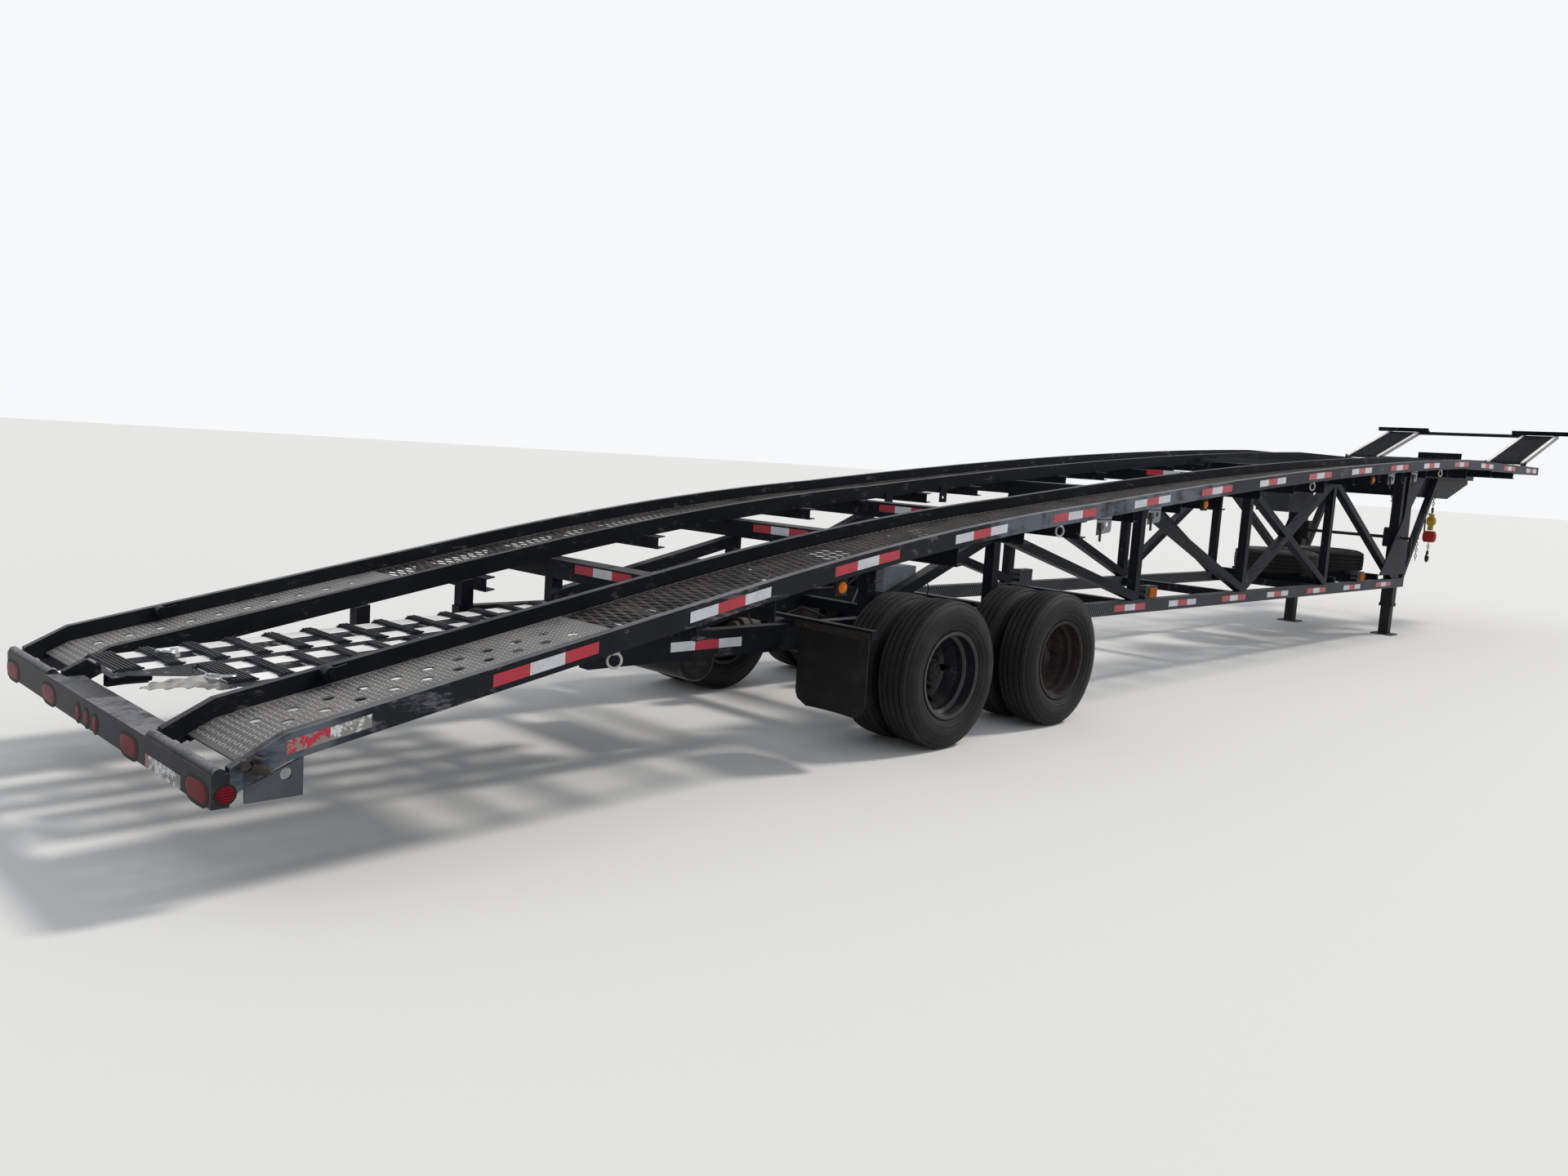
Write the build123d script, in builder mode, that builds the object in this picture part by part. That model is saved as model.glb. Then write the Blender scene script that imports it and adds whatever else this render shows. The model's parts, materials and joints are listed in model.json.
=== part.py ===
from build123d import *
from math import atan2, cos, degrees, hypot, radians, sin, sqrt, tan
import os

os.makedirs("parts", exist_ok=True)

# Wedge deck, in millimetres. Stations run forward from the rear face of the bumper.
coupler_bottom = 1660.0    # the plate that rests on the tractor
overall_width = 2591.0
deck_length = 16810.0      # rear face of the bumper to the front end of the runways
nose_length = 3110.0       # nearly level stretch ahead of the kink
nose_above_coupler = 488.0 # top of the rails at their front end, above the coupler plate
nose_rise = 28.0           # climb of the rails along the nose
lip_station = 250.0        # where the rails reach their full height
lip_height = 597.0         # top of the rails there
tail_height = 500.0        # top of the rails at the bumper
rail_height = 100.0
rail_width = 45.0
runway_width = 605.0       # clear width between the two rails of a runway
ledge_width = 30.0         # angle that carries the deck along each rail
deck_drop = 75.0           # deck surface below the top of the rails
deck_thickness = 6.0
plate_start = 150.0        # tread plate begins
plate_length = 1680.0      # tread plate, up to the expanded metal
hole_radius = 24.0         # hand holes of the tread plate, in three staggered columns
hole_pitch = 142.0
hole_columns = 125.0       # outer columns from the middle one
hole_margin = 80.0

# Cross beams and truss
beam_height = 112.0
beam_width = 75.0
beam_wall = 8.0
beam_inset = 5.0           # ends of beams and bearers inside the trailer's width
bearer_height = 75.0
bearer_width = 60.0
bearer_wall = 6.0
bearer_overhang = 69.5     # short bearers reach inboard of the truss by this
member_width = 76.0        # square tube of the truss
brace_width = 70.0
truss_bays = 4             # ahead of the axles
post_behind_kink = 30.0
last_bay_extra = 120.0     # the last bay is longer than the others
tail_beam_behind = 1550.0  # rearmost cross beam, behind the rear axle
rear_post_behind = 100.0
tail_bearer_behind = 500.0 # short bearer behind the rearmost cross beam
frame_beam_above = 117.5   # underside of the deep beam above the axles' centres
frame_beam_height = 150.0
frame_beam_overhang = 650.0    # it starts this far behind the rearmost cross beam
frame_beam_ahead = 60.0    # and ends this far ahead of the front spring's eye
chord_step = 15.0          # underside of the lower rail above that of the deep beam
chord_height = 105.0
chord_ahead = 360.0        # front end of the lower rail, ahead of the kink
tie_height = 76.0          # low cross beams between the chords
tie_level = 110.0          # their top above the underside of the deep beam
tank_tie_ahead = 1000.0    # the first one carries the tank, ahead of the deep beam's rear end
beam_end_tie_behind = 50.0 # one near the deep beam's front end
kink_tie_behind = 200.0    # the last one, behind the kink

# Running gear
rear_axle_station = 4200.0
axle_spread = 1210.0
tyre_radius = 442.5
tyre_width = 255.0
bead_radius = 247.7
dual_spacing = 290.0
tyre_side_gap = 50.0       # outer tyre's side wall inside the trailer's width
axle_radius = 63.5
spindle_radius = 42.0
bearing_gap = 0.3
disc_thickness = 12.0
spring_half_length = 480.0
spring_width = 76.0
leaf_thickness = 12.0

# Mud flaps
flap_behind = 800.0        # behind the rear axle
flap_bar = 50.0
flap_bar_inset = 40.0      # ends of the bar inside the trailer's width
flap_bottom = 270.0
flap_thickness = 8.0

# Bumper
bumper_depth = 60.0
bumper_bottom = 366.0
bumper_height = 116.0
lens_proud = 4.0

# Landing legs
leg_ahead = 130.0          # leg's centre ahead of the kink
leg_width = 130.0
leg_inner_width = 108.0
leg_tube_bottom = 340.0
foot_size = 250.0
foot_thickness = 12.0
leg_skin = 15.0            # lower rail's outer wall beside the leg
crank_above_chord = 485.0  # leg's cross shaft above the lower rail

# Neck and coupler: stations back from the front end of the runways
neck_drop = 222.0          # underside of the neck beams below the rail top
neck_front = 400.0
nose_beam_stations = (2150.0, 1150.0)
coupler_rear = 2340.0
coupler_bend = 1170.0
coupler_front = 350.0
coupler_rise = 210.0       # from the flat plate to the front edge
coupler_plate = 12.0
kingpin_station = 1410.0
kingpin_radius = 25.4
pin_shank_radius = 36.5
pin_flange_radius = 95.0
pin_flange_thickness = 14.0
pin_clearance = 0.3
brace_run = 890.0          # raked nose brace, from the lower rail's end to its head

# Head ramps, hinged at the front end of the runways
head_ramp_length = 1740.0
head_ramp_tilt = 15.0
head_ramp_inset = 40.5     # inner edge of a head ramp from the inner rail
head_ramp_width = 446.0
head_plate_inner = 130.0   # top plate beyond the ramp's inner and outer edge
head_plate_outer = 144.0
head_plate_height = 60.0
head_rail_width = 40.0
head_rail_height = 50.0
pivot_behind = 40.0
pivot_above = 42.0
pivot_radius = 12.7
pivot_gap = 0.3
ear_gap = 6.0
ear_thickness = 12.0
front_bar_depth = 80.0
front_bar_height = 100.0

# Stowed loading ramps
stowed_ramp_width = 400.0
stowed_ramp_length = 2440.0
stowed_rail_height = 60.0
stowed_rail_width = 130.0  # wide side rails with a gap between them
stowed_rung_height = 14.0  # planks across the tops of the rails
stowed_slope = 0.06
stowed_above_frame = 80.0  # underside where the deep beams start, above their underside
rest_behind = (1210.0, 600.0)  # rest bars of the stowed ramps, behind the rearmost cross beam
rest_height = 60.0

# What is carried between the trusses
spare_behind_post = 520.0  # front spare wheel, behind the last post
spare_gap = 465.0          # between the two spare wheels
spare_above_chord = 55.0
carrier_height = 110.0
carrier_width = 60.0
carrier_half_span = 200.0
tool_box_size = (640.0, 330.0, 220.0)
tool_box_drop = 310.0      # its top below the rails
tool_box_y = -285.0
equipment_box_size = (320.0, 150.0, 160.0)
tank_radius = 120.0
tank_length = 700.0

half_width = overall_width / 2
outer_rail_y = half_width - rail_width / 2
frame_outer = half_width - rail_width - runway_width      # outer face of the inner rails and the truss
inner_rail_y = frame_outer - rail_width / 2
member_y = frame_outer - member_width / 2
frame_inner = frame_outer - member_width
runway_y = frame_outer + runway_width / 2
beam_end = half_width - beam_inset
kink_station = deck_length - nose_length
nose_height = coupler_bottom + nose_above_coupler
kink_height = nose_height - nose_rise
front_axle_station = rear_axle_station + axle_spread
head_ramp_inner = frame_outer + head_ramp_inset
head_ramp_outer = head_ramp_inner + head_ramp_width
rail_end = deck_length - front_bar_depth
pivot_station = deck_length - pivot_behind
pivot_height = nose_height + pivot_above
tilt = radians(head_ramp_tilt)
front_most = pivot_station + head_ramp_length * cos(tilt) + head_rail_height / 2 * sin(tilt)
middle = (front_most - lens_proud) / 2                    # station of the origin


def side_plane(y):
    """upright plane along the trailer: local x is the station, local y the height"""
    return Plane((-middle, y, 0), x_dir=(1, 0, 0), z_dir=(0, -1, 0))


def cross_plane(station):
    """upright plane across the trailer: local x is the model's y, local y the height"""
    return Plane((station - middle, 0, 0), x_dir=(0, 1, 0), z_dir=(1, 0, 0))


def level_plane(height):
    """level plane: local x is the station, local y the model's y"""
    return Plane((-middle, 0, height))


# Deck curve: share of the run from lip to kink, share of the rise
curve_table = (
    (0.1673, 0.2928),      # end of the straight ramp
    (0.2788, 0.4603),      # on the first arc
    (0.3903, 0.5758),      # the two arcs meet
    (0.6877, 0.8273),      # on the second arc
)
run = kink_station - lip_station
rise = kink_height - lip_height
curve = [(lip_station + run * a, lip_height + rise * b) for a, b in curve_table]
lip = (lip_station, lip_height)
kink = (kink_station, kink_height)
nose = (deck_length, nose_height)
tail = (bumper_depth, tail_height)
# start, point on the arc or None on a straight stretch, end
stretches = (
    (tail, None, lip),
    (lip, None, curve[0]),
    (curve[0], curve[1], curve[2]),
    (curve[2], curve[3], kink),
    (kink, None, nose),
)


def circle_height(a, b, c, x):
    """height at x of the upper side of the circle through three points"""
    along = [(p[0], q[1] - r[1], r[0] - q[0]) for p, q, r in ((a, b, c), (b, c, a), (c, a, b))]
    double_area = 2 * sum(station * dz for station, dz, dx in along)
    squares = [p[0] ** 2 + p[1] ** 2 for p in (a, b, c)]
    centre_x = sum(square * dz for square, (station, dz, dx) in zip(squares, along)) / double_area
    centre_z = sum(square * dx for square, (station, dz, dx) in zip(squares, along)) / double_area
    return centre_z + sqrt((a[0] - centre_x) ** 2 + (a[1] - centre_z) ** 2 - (x - centre_x) ** 2)


def stretch_at(x):
    """the stretch of the deck curve that holds a station"""
    for stretch in stretches:
        if x <= stretch[2][0]:
            return stretch
    return stretches[-1]


def rail_top(x):
    """height of the rails' top at a station"""
    start, bend, end = stretch_at(x)
    if bend is None:
        return start[1] + (end[1] - start[1]) * (x - start[0]) / (end[0] - start[0])
    return circle_height(start, bend, end, x)


def strip(start, end, top, bottom):
    """outline between two stations and two drops below the rails' top"""
    stops = [start] + [s[2][0] for s in stretches if start < s[2][0] < end] + [end]
    with BuildSketch() as outline:
        with BuildLine():
            for drop in (top, bottom):
                for a, b in zip(stops, stops[1:]):
                    centre = (a + b) / 2
                    if stretch_at(centre)[1] is None:
                        Line((a, rail_top(a) - drop), (b, rail_top(b) - drop))
                    else:
                        ThreePointArc(*[(x, rail_top(x) - drop) for x in (a, centre, b)])
            for x in (start, end):
                Line((x, rail_top(x) - top), (x, rail_top(x) - bottom))
        make_face()
    return outline.sketch


def under_deck(start, end, top, floor):
    """outline from a drop below the rails' top down to a level floor"""
    clear_above = 2 * nose_height
    with BuildSketch() as outline:
        add(strip(start, end, top, top + clear_above))
        with Locations(((start + end) / 2, floor + clear_above)):
            Rectangle(end - start, 2 * clear_above, mode=Mode.INTERSECT)
    return outline.sketch


def channel(station, width, height, wall):
    """a cross channel's side view under the rails: its web at the rear, open to the front"""
    start, end = station - width / 2, station + width / 2
    top, bottom = rail_height, rail_height + height
    with BuildSketch() as outline:
        add(strip(start, end, top, bottom))
        add(strip(start + wall, end + wall, top + wall, bottom - wall), mode=Mode.SUBTRACT)
    return outline.sketch


def bar(start, end, width, overrun=300):
    """a straight bar's side view along a line, longer than it at both ends"""
    dx, dz = end[0] - start[0], end[1] - start[1]
    centre = (start[0] + dx / 2, start[1] + dz / 2, 0)
    with BuildSketch() as outline:
        with Locations(Location(centre, (0, 0, degrees(atan2(dz, dx))))):
            Rectangle(hypot(dx, dz) + 2 * overrun, width)
    return outline.sketch


def save(builder, label):
    builder.part.label = label
    export_step(builder.part, "parts/" + label + ".step")


# Rails: node, centre, side that the deck's ledge is on
rail_table = (("outer_rails", outer_rail_y, -1), ("inner_rails", inner_rail_y, 1))
for node, rail_y, ledge_side in rail_table:
    with BuildPart() as rails:
        with BuildSketch(side_plane(-rail_y)):
            add(strip(bumper_depth, rail_end, 0, rail_height))
        extrude(amount=rail_width / 2, both=True)
        ledge_y = rail_y + ledge_side * (rail_width + ledge_width) / 2
        with BuildSketch(side_plane(-ledge_y)):
            add(strip(plate_start, rail_end, deck_drop + deck_thickness, rail_height))
        extrude(amount=ledge_width / 2, both=True)
        mirror(about=Plane.XZ)
    save(rails, node)

# Decks of both runways: tread plate with staggered holes, then expanded metal
mesh_start = plate_start + plate_length
column_table = ((-hole_columns, 0), (0, 0.5), (hole_columns, 0))    # from the middle column, stagger
first_hole = lip_station + hole_margin
hole_count = int((mesh_start - hole_margin - first_hole) / hole_pitch)
with BuildPart() as rear_deck_plates:
    with BuildSketch(side_plane(-runway_y)):
        add(strip(plate_start, mesh_start, deck_drop, deck_drop + deck_thickness))
    extrude(amount=runway_width / 2, both=True)
    with BuildSketch(level_plane(0)):
        for offset, stagger in column_table:
            for k in range(hole_count):
                with Locations((first_hole + (k + stagger) * hole_pitch, -runway_y + offset)):
                    Circle(hole_radius)
    extrude(amount=nose_height, mode=Mode.SUBTRACT)
    mirror(about=Plane.XZ)
save(rear_deck_plates, "rear_deck_plates")

# Mesh sheets butted end to end along each runway
sheet_count = 5
sheet_joint = 2.0
sheet_pitch = (rail_end - mesh_start) / sheet_count
with BuildPart() as mesh_decks:
    with BuildSketch(side_plane(-runway_y)):
        for k in range(sheet_count):
            sheet_start = mesh_start + k * sheet_pitch
            sheet_end = sheet_start + sheet_pitch - sheet_joint
            add(strip(sheet_start, sheet_end, deck_drop, deck_drop + deck_thickness))
    extrude(amount=runway_width / 2, both=True)
    mirror(about=Plane.XZ)
save(mesh_decks, "mesh_decks")

# Stations of the truss posts, then of the cross beams over them
truss_pitch = (kink_station - post_behind_kink - last_bay_extra - front_axle_station) / truss_bays
posts = [front_axle_station + truss_pitch * k for k in range(truss_bays)] + [kink_station - post_behind_kink]
tail_beam = rear_axle_station - tail_beam_behind
beams = [tail_beam, rear_axle_station - rear_post_behind] + posts
nose_beams = [deck_length - s for s in nose_beam_stations]
with BuildPart() as cross_beams:
    with BuildSketch(side_plane(0)):
        for station in beams:
            add(channel(station, beam_width, beam_height, beam_wall))
    extrude(amount=beam_end, both=True)
    with BuildSketch(side_plane(0)):
        for station in nose_beams:
            add(channel(station, beam_width, beam_height, beam_wall))
    extrude(amount=frame_inner, both=True)
    with BuildSketch(side_plane(-(frame_outer + beam_end) / 2)):
        for station in nose_beams:
            add(channel(station, beam_width, bearer_height, beam_wall))
    extrude(amount=(beam_end - frame_outer) / 2, both=True)
    mirror(about=Plane.XZ)
save(cross_beams, "cross_beams")

# Short bearers: two in each truss bay, one in each bay behind it, and the tail's
bays = list(zip(beams, beams[1:]))
rest_stations = [tail_beam - x for x in rest_behind]
bearer_stations = [(bumper_depth + rest_stations[0]) / 2, tail_beam - tail_bearer_behind]
for a, b in bays:
    count = 1 if b <= front_axle_station else 2
    bearer_stations += [a + (b - a) * (k + 1) / (count + 1) for k in range(count)]
bearer_inner = frame_inner - bearer_overhang
with BuildPart() as deck_bearers:
    with BuildSketch(side_plane(-(bearer_inner + beam_end) / 2)):
        for station in bearer_stations:
            add(channel(station, bearer_width, bearer_height, bearer_wall))
    extrude(amount=(beam_end - bearer_inner) / 2, both=True)
    mirror(about=Plane.XZ)
save(deck_bearers, "deck_bearers")

# Truss posts stand on the chords under the cross beams
axle_height = tyre_radius
frame_beam_bottom = axle_height + frame_beam_above
frame_beam_top = frame_beam_bottom + frame_beam_height
frame_beam_start = tail_beam - frame_beam_overhang
frame_beam_end = front_axle_station + spring_half_length + frame_beam_ahead
chord_bottom = frame_beam_bottom + chord_step
chord_top = chord_bottom + chord_height
chord_front = kink_station + chord_ahead
under_beam = rail_height + beam_height
stowed_base = frame_beam_bottom + stowed_above_frame - stowed_slope * frame_beam_start


def floor_at(station):
    """top of the chord that carries the truss at a station"""
    return frame_beam_top if station < frame_beam_end else chord_top


def in_bay(bay, share):
    """station at a share of the way along a bay"""
    return bays[bay][0] + share * (bays[bay][1] - bays[bay][0])


with BuildPart() as truss_posts:
    with BuildSketch(side_plane(-member_y)):
        for station in beams:
            add(under_deck(station - beam_width / 2, station + beam_width / 2, under_beam, floor_at(station)))
    extrude(amount=member_width / 2, both=True)
    mirror(about=Plane.XZ)
save(truss_posts, "truss_posts")

# Braces: bay, whether it climbs forward
brace_table = [(0, True), (1, True)] + [(k, False) for k in range(2, len(bays))]
crossed_bay = 4


def bay_opening(bay):
    start, end = bays[bay][0] + beam_width / 2, bays[bay][1] - beam_width / 2
    return under_deck(start, end, rail_height + bearer_height, floor_at(end))


def brace_line(bay, climbs):
    start, end = bays[bay][0] + beam_width / 2, bays[bay][1] - beam_width / 2
    reach = brace_width / 2
    if climbs:
        return (start, floor_at(start) + reach), (end, rail_top(end) - under_beam - reach)
    return (start, rail_top(start) - under_beam - reach), (end, floor_at(end) + reach)


with BuildPart() as truss_braces:
    for bay, climbs in brace_table:
        with BuildSketch(side_plane(-member_y)):
            add(bar(*brace_line(bay, climbs), brace_width))
            if bay == crossed_bay:
                add(bar(*brace_line(bay, not climbs), brace_width))
            add(bay_opening(bay), mode=Mode.INTERSECT)
        extrude(amount=member_width / 2, both=True)
    mirror(about=Plane.XZ)
save(truss_braces, "truss_braces")

# Nose braces with their side plates
leg_station = kink_station + leg_ahead
neck_rear = posts[-1] + beam_width / 2
brace_foot_behind = 50.0   # behind the front end of the lower rail
brace_foot = (chord_front - brace_foot_behind, chord_top)
brace_head = (chord_front + brace_run, rail_top(chord_front + brace_run) - neck_drop)
crank_height = chord_top + crank_above_chord
plate_thickness = 10.0
plate_points = (        # station from the leg's centre, share of the height from the chord to the neck
    (-680, 0.045), (-400, 0.285), (-60, 0.60), (-30, 0.995), (540, 0.995), (150, 0.70), (200, 0.045)
)
plate_rise = rail_top(leg_station) - neck_drop - chord_top
plate_outline = [(leg_station + x, chord_top + share * plate_rise) for x, share in plate_points]
brace_clear = leg_station + leg_width / 2 + 20
brace_end = brace_head[0] + 310
with BuildPart() as nose_braces:
    with BuildSketch(side_plane(-member_y)):
        add(bar(brace_foot, brace_head, brace_width))
        add(under_deck(brace_clear, brace_end, neck_drop, chord_top), mode=Mode.INTERSECT)
    extrude(amount=member_width / 2, both=True)
    with BuildSketch(side_plane(-frame_outer)):
        with BuildLine():
            Polyline(plate_outline, close=True)
        make_face()
        with Locations((leg_station, crank_height)):
            Circle(30, mode=Mode.SUBTRACT)
    extrude(amount=plate_thickness)
    mirror(about=Plane.XZ)
save(nose_braces, "nose_braces")

# Chords: deep beams over the axles, lower rails ahead of them, notched for the legs
with BuildPart() as frame_beams:
    with BuildSketch(side_plane(-member_y)):
        with Locations(((frame_beam_start + frame_beam_end) / 2, (frame_beam_bottom + frame_beam_top) / 2)):
            Rectangle(frame_beam_end - frame_beam_start, frame_beam_height)
    extrude(amount=member_width / 2, both=True)
    mirror(about=Plane.XZ)
save(frame_beams, "frame_beams")

leg_y = frame_outer - leg_skin - leg_width / 2
notch_gap = 1.0
lamp_box_table = ((3, 0.12), (5, 0.49))    # marker lamp boxes on the lower rails: bay, share of it
lamp_box_length = 200.0
lamp_box_height = 110.0
with BuildPart() as lower_rails:
    with BuildSketch(side_plane(-member_y)):
        with Locations(((frame_beam_end + chord_front) / 2, chord_bottom + chord_height / 2)):
            Rectangle(chord_front - frame_beam_end, chord_height)
        for bay, share in lamp_box_table:
            with Locations((in_bay(bay, share), chord_top + lamp_box_height / 2)):
                Rectangle(lamp_box_length, lamp_box_height)
    extrude(amount=member_width / 2, both=True)
    with BuildSketch(level_plane(chord_bottom - 1)):
        with Locations((leg_station, -leg_y)):
            Rectangle(leg_width + 2 * notch_gap, leg_width)
    extrude(amount=chord_height + 2, mode=Mode.SUBTRACT)
    mirror(about=Plane.XZ)
save(lower_rails, "lower_rails")

# Low cross beams between the chords, with the spare wheels' carriers, the mud flaps' bar, and the bars
# under the inner rails that the stowed ramps rest on
between_axles = (rear_axle_station + front_axle_station) / 2
tie_stations = [frame_beam_start + tank_tie_ahead, between_axles, frame_beam_end - beam_end_tie_behind]
tie_stations += [*posts[1:-1], kink_station - kink_tie_behind]
tie_top = frame_beam_bottom + tie_level
spare_front = posts[-1] - spare_behind_post
spare_stations = (spare_front - 2 * tyre_radius - spare_gap, spare_front)
carrier_top = chord_top + spare_above_chord
carriers = [station + side * carrier_half_span for station in spare_stations for side in (-1, 1)]
flap_station = rear_axle_station - flap_behind
with BuildPart() as low_cross_beams:
    with BuildSketch(side_plane(0)):
        for station in tie_stations:
            with Locations((station, tie_top - tie_height / 2)):
                Rectangle(tie_height, tie_height)
        for station in carriers:
            with Locations((station, carrier_top - carrier_height / 2)):
                Rectangle(carrier_width, carrier_height)
    extrude(amount=frame_inner, both=True)
    with BuildSketch(side_plane(0)):
        with Locations((flap_station + flap_bar / 2, frame_beam_top + flap_bar / 2)):
            Rectangle(flap_bar, flap_bar)
    extrude(amount=half_width - flap_bar_inset, both=True)
    for station in rest_stations:
        top = stowed_base + stowed_slope * (station - beam_width / 2)
        foot = frame_beam_top if station > frame_beam_start else top - rest_height
        with BuildSketch(side_plane(0)):
            with Locations((station, top - rest_height / 2)):
                Rectangle(beam_width, rest_height)
        extrude(amount=frame_inner, both=True)
        with BuildSketch(side_plane(-member_y)):
            add(under_deck(station - beam_width / 2, station + beam_width / 2, rail_height, foot))
        extrude(amount=member_width / 2, both=True)
    mirror(about=Plane.XZ)
save(low_cross_beams, "low_cross_beams")

# Axles with spring seats and brake backing plates
hub_y = half_width - tyre_side_gap - tyre_width / 2 - dual_spacing / 2   # meeting plane of the twin discs
drum_radius = 203.0
drum_wall = 13.0
drum_inner_end = 260.0     # open end of the drum inboard of the meeting plane
backing_gap = 8.0
seat_half = 60.0
seat_bottom = axle_height - axle_radius - 10
spring_stack = 4 * leaf_thickness
eye_rise = 60.0
seat_bow = 1.1 * eye_rise * (seat_half / spring_half_length) ** 2     # rise of the bowed leaf over the seat
spring_top = seat_bottom - seat_bow
eye_height = spring_top + eye_rise - leaf_thickness / 2
axle_end = hub_y - 172     # inner end of the spindle
spindle_past_hub = 50.0
backing_inside = 15.0      # backing plate inside the drum's open end
backing_half = 4.0
axle_table = (("rear_axle", rear_axle_station), ("front_axle", front_axle_station))
for node, station in axle_table:
    with BuildPart() as axle:
        with BuildSketch(side_plane(0)):
            with Locations((station, axle_height)):
                Circle(axle_radius)
        extrude(amount=axle_end, both=True)
        with BuildSketch(side_plane(0)):
            with Locations((station, axle_height)):
                Circle(spindle_radius)
        extrude(amount=hub_y + spindle_past_hub, both=True)
        with BuildSketch(side_plane(-(hub_y - drum_inner_end + backing_inside))):
            with Locations((station, axle_height)):
                Circle(drum_radius - drum_wall - backing_gap)
        extrude(amount=backing_half, both=True)
        with BuildSketch(side_plane(-member_y)):
            with Locations((station, (seat_bottom + axle_height) / 2)):
                Rectangle(2 * seat_half, axle_height - seat_bottom)
        extrude(amount=spring_width / 2, both=True)
        mirror(about=Plane.XZ)
    save(axle, node)


def leaf(station, reach, top, climb):
    """one leaf's side view: an arc strip, low in the middle, with square ends"""
    ends = (station - reach, station + reach)
    with BuildSketch() as outline:
        with BuildLine():
            for level in (top, top - leaf_thickness):
                ThreePointArc((ends[0], level + climb), (station, level), (ends[1], level + climb))
            for x in ends:
                Line((x, top + climb), (x, top + climb - leaf_thickness))
        make_face()
    return outline.sketch


eye_radius = 24.0
with BuildPart() as leaf_springs:
    for station in (rear_axle_station, front_axle_station):
        with BuildSketch(side_plane(-member_y)):
            for k in range(4):
                share = 1 - 0.2 * k
                level = spring_top - leaf_thickness * k
                add(leaf(station, spring_half_length * share, level, eye_rise * share ** 2))
            for side in (-1, 1):
                with Locations((station + side * spring_half_length, eye_height)):
                    Circle(eye_radius)
            with Locations((station, spring_top - spring_stack - 6)):
                Rectangle(130, 12)
        extrude(amount=spring_width / 2, both=True)
    mirror(about=Plane.XZ)
save(leaf_springs, "leaf_springs")

# Spring hangers: two cheeks and a bridge under the frame beam at each eye
cheek_thickness = 8.0
hanger_half = (axle_spread / 2 - spring_half_length) + 40
hanger_table = (        # station, half length along the beam
    (rear_axle_station - spring_half_length, 70.0),
    ((rear_axle_station + front_axle_station) / 2, hanger_half),
    (front_axle_station + spring_half_length, 60.0),
)
with BuildPart() as spring_hangers:
    for station, half in hanger_table:
        for side in (-1, 1):
            with BuildSketch(side_plane(-(member_y + side * (spring_width + cheek_thickness) / 2))):
                with BuildLine():
                    Polyline(
                        (station - half, frame_beam_bottom),
                        (station + half, frame_beam_bottom),
                        (station + half * 0.8, eye_height - eye_radius - 16),
                        (station - half * 0.8, eye_height - eye_radius - 16),
                        close=True,
                    )
                make_face()
            extrude(amount=cheek_thickness / 2, both=True)
        with BuildSketch(side_plane(-member_y)):
            with Locations((station, frame_beam_bottom - 6)):
                Rectangle(2 * half * 0.95, 12)
        extrude(amount=spring_width / 2, both=True)
    mirror(about=Plane.XZ)
save(spring_hangers, "spring_hangers")

# Twin wheels
tyre_outline = (        # half width, radius: bead, lower side wall, shoulder, edge of the tread
    (tyre_width / 2 - 42.0, bead_radius), (tyre_width / 2 - 27.5, bead_radius + 22.0),
    (tyre_width / 2 - 27.5, tyre_radius - 17.0), (tyre_width / 2 - 35.0, tyre_radius - 6.0),
)
rim_outline = (         # offset from the rim's centre, radius less that of the bead seat
    (-104, 14.6), (-96, 14.6), (-96, 0), (-60, 0), (-45, -19.4), (15, -19.4), (30, 0), (96, 0),
    (96, 14.6), (104, 14.6), (104, 6.6), (100, -7.9), (34, -7.9), (19, -27.4), (-49, -27.4), (-64, -7.9),
    (-100, -7.9), (-104, 6.6),
)
bead_clearance = 0.3
rim_seat = bead_radius - bead_clearance
disc_steps = (-23.4, -47.4, -79.4, -86.4, -57.4, -27.4)    # radii of the dish, less the bead seat
disc_bore = 110.0
hand_holes = 5
hand_hole_radius = 22.0
hand_hole_circle = 186.0


def tyre_section():
    """half section of a tyre about its own centre: local x along the axle, local y the radius"""
    bead, side, shoulder, tread = tyre_outline
    bulge = (tyre_width / 2, (side[1] + shoulder[1]) / 2)
    with BuildSketch() as section:
        with BuildLine():
            Line((-bead[0], bead[1]), bead)
            for s in (-1, 1):
                Line((s * bead[0], bead[1]), (s * side[0], side[1]))
                ThreePointArc(*[(s * p[0], p[1]) for p in (side, bulge, shoulder)])
                Line((s * shoulder[0], shoulder[1]), (s * tread[0], tread[1]))
            ThreePointArc((-tread[0], tread[1]), (0, tyre_radius), tread)
        make_face()
    return section.sketch


def rim_section(disc_offset):
    """half section of a rim with its dished disc, whose face lies disc_offset inboard"""
    radii = [rim_seat + step for step in disc_steps]
    dish = (
        (-44, radii[0]), (-104, radii[1]), (-disc_offset, radii[2]), (-disc_offset, disc_bore),
        (disc_thickness - disc_offset, disc_bore), (disc_thickness - disc_offset, radii[3]),
        (-96, radii[4]), (-20, radii[5]), (-20, radii[0]),
    )
    with BuildSketch() as section:
        for points in ([(x, rim_seat + step) for x, step in rim_outline], dish):
            with BuildLine():
                Polyline(points, close=True)
            make_face()
    return section.sketch


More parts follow.
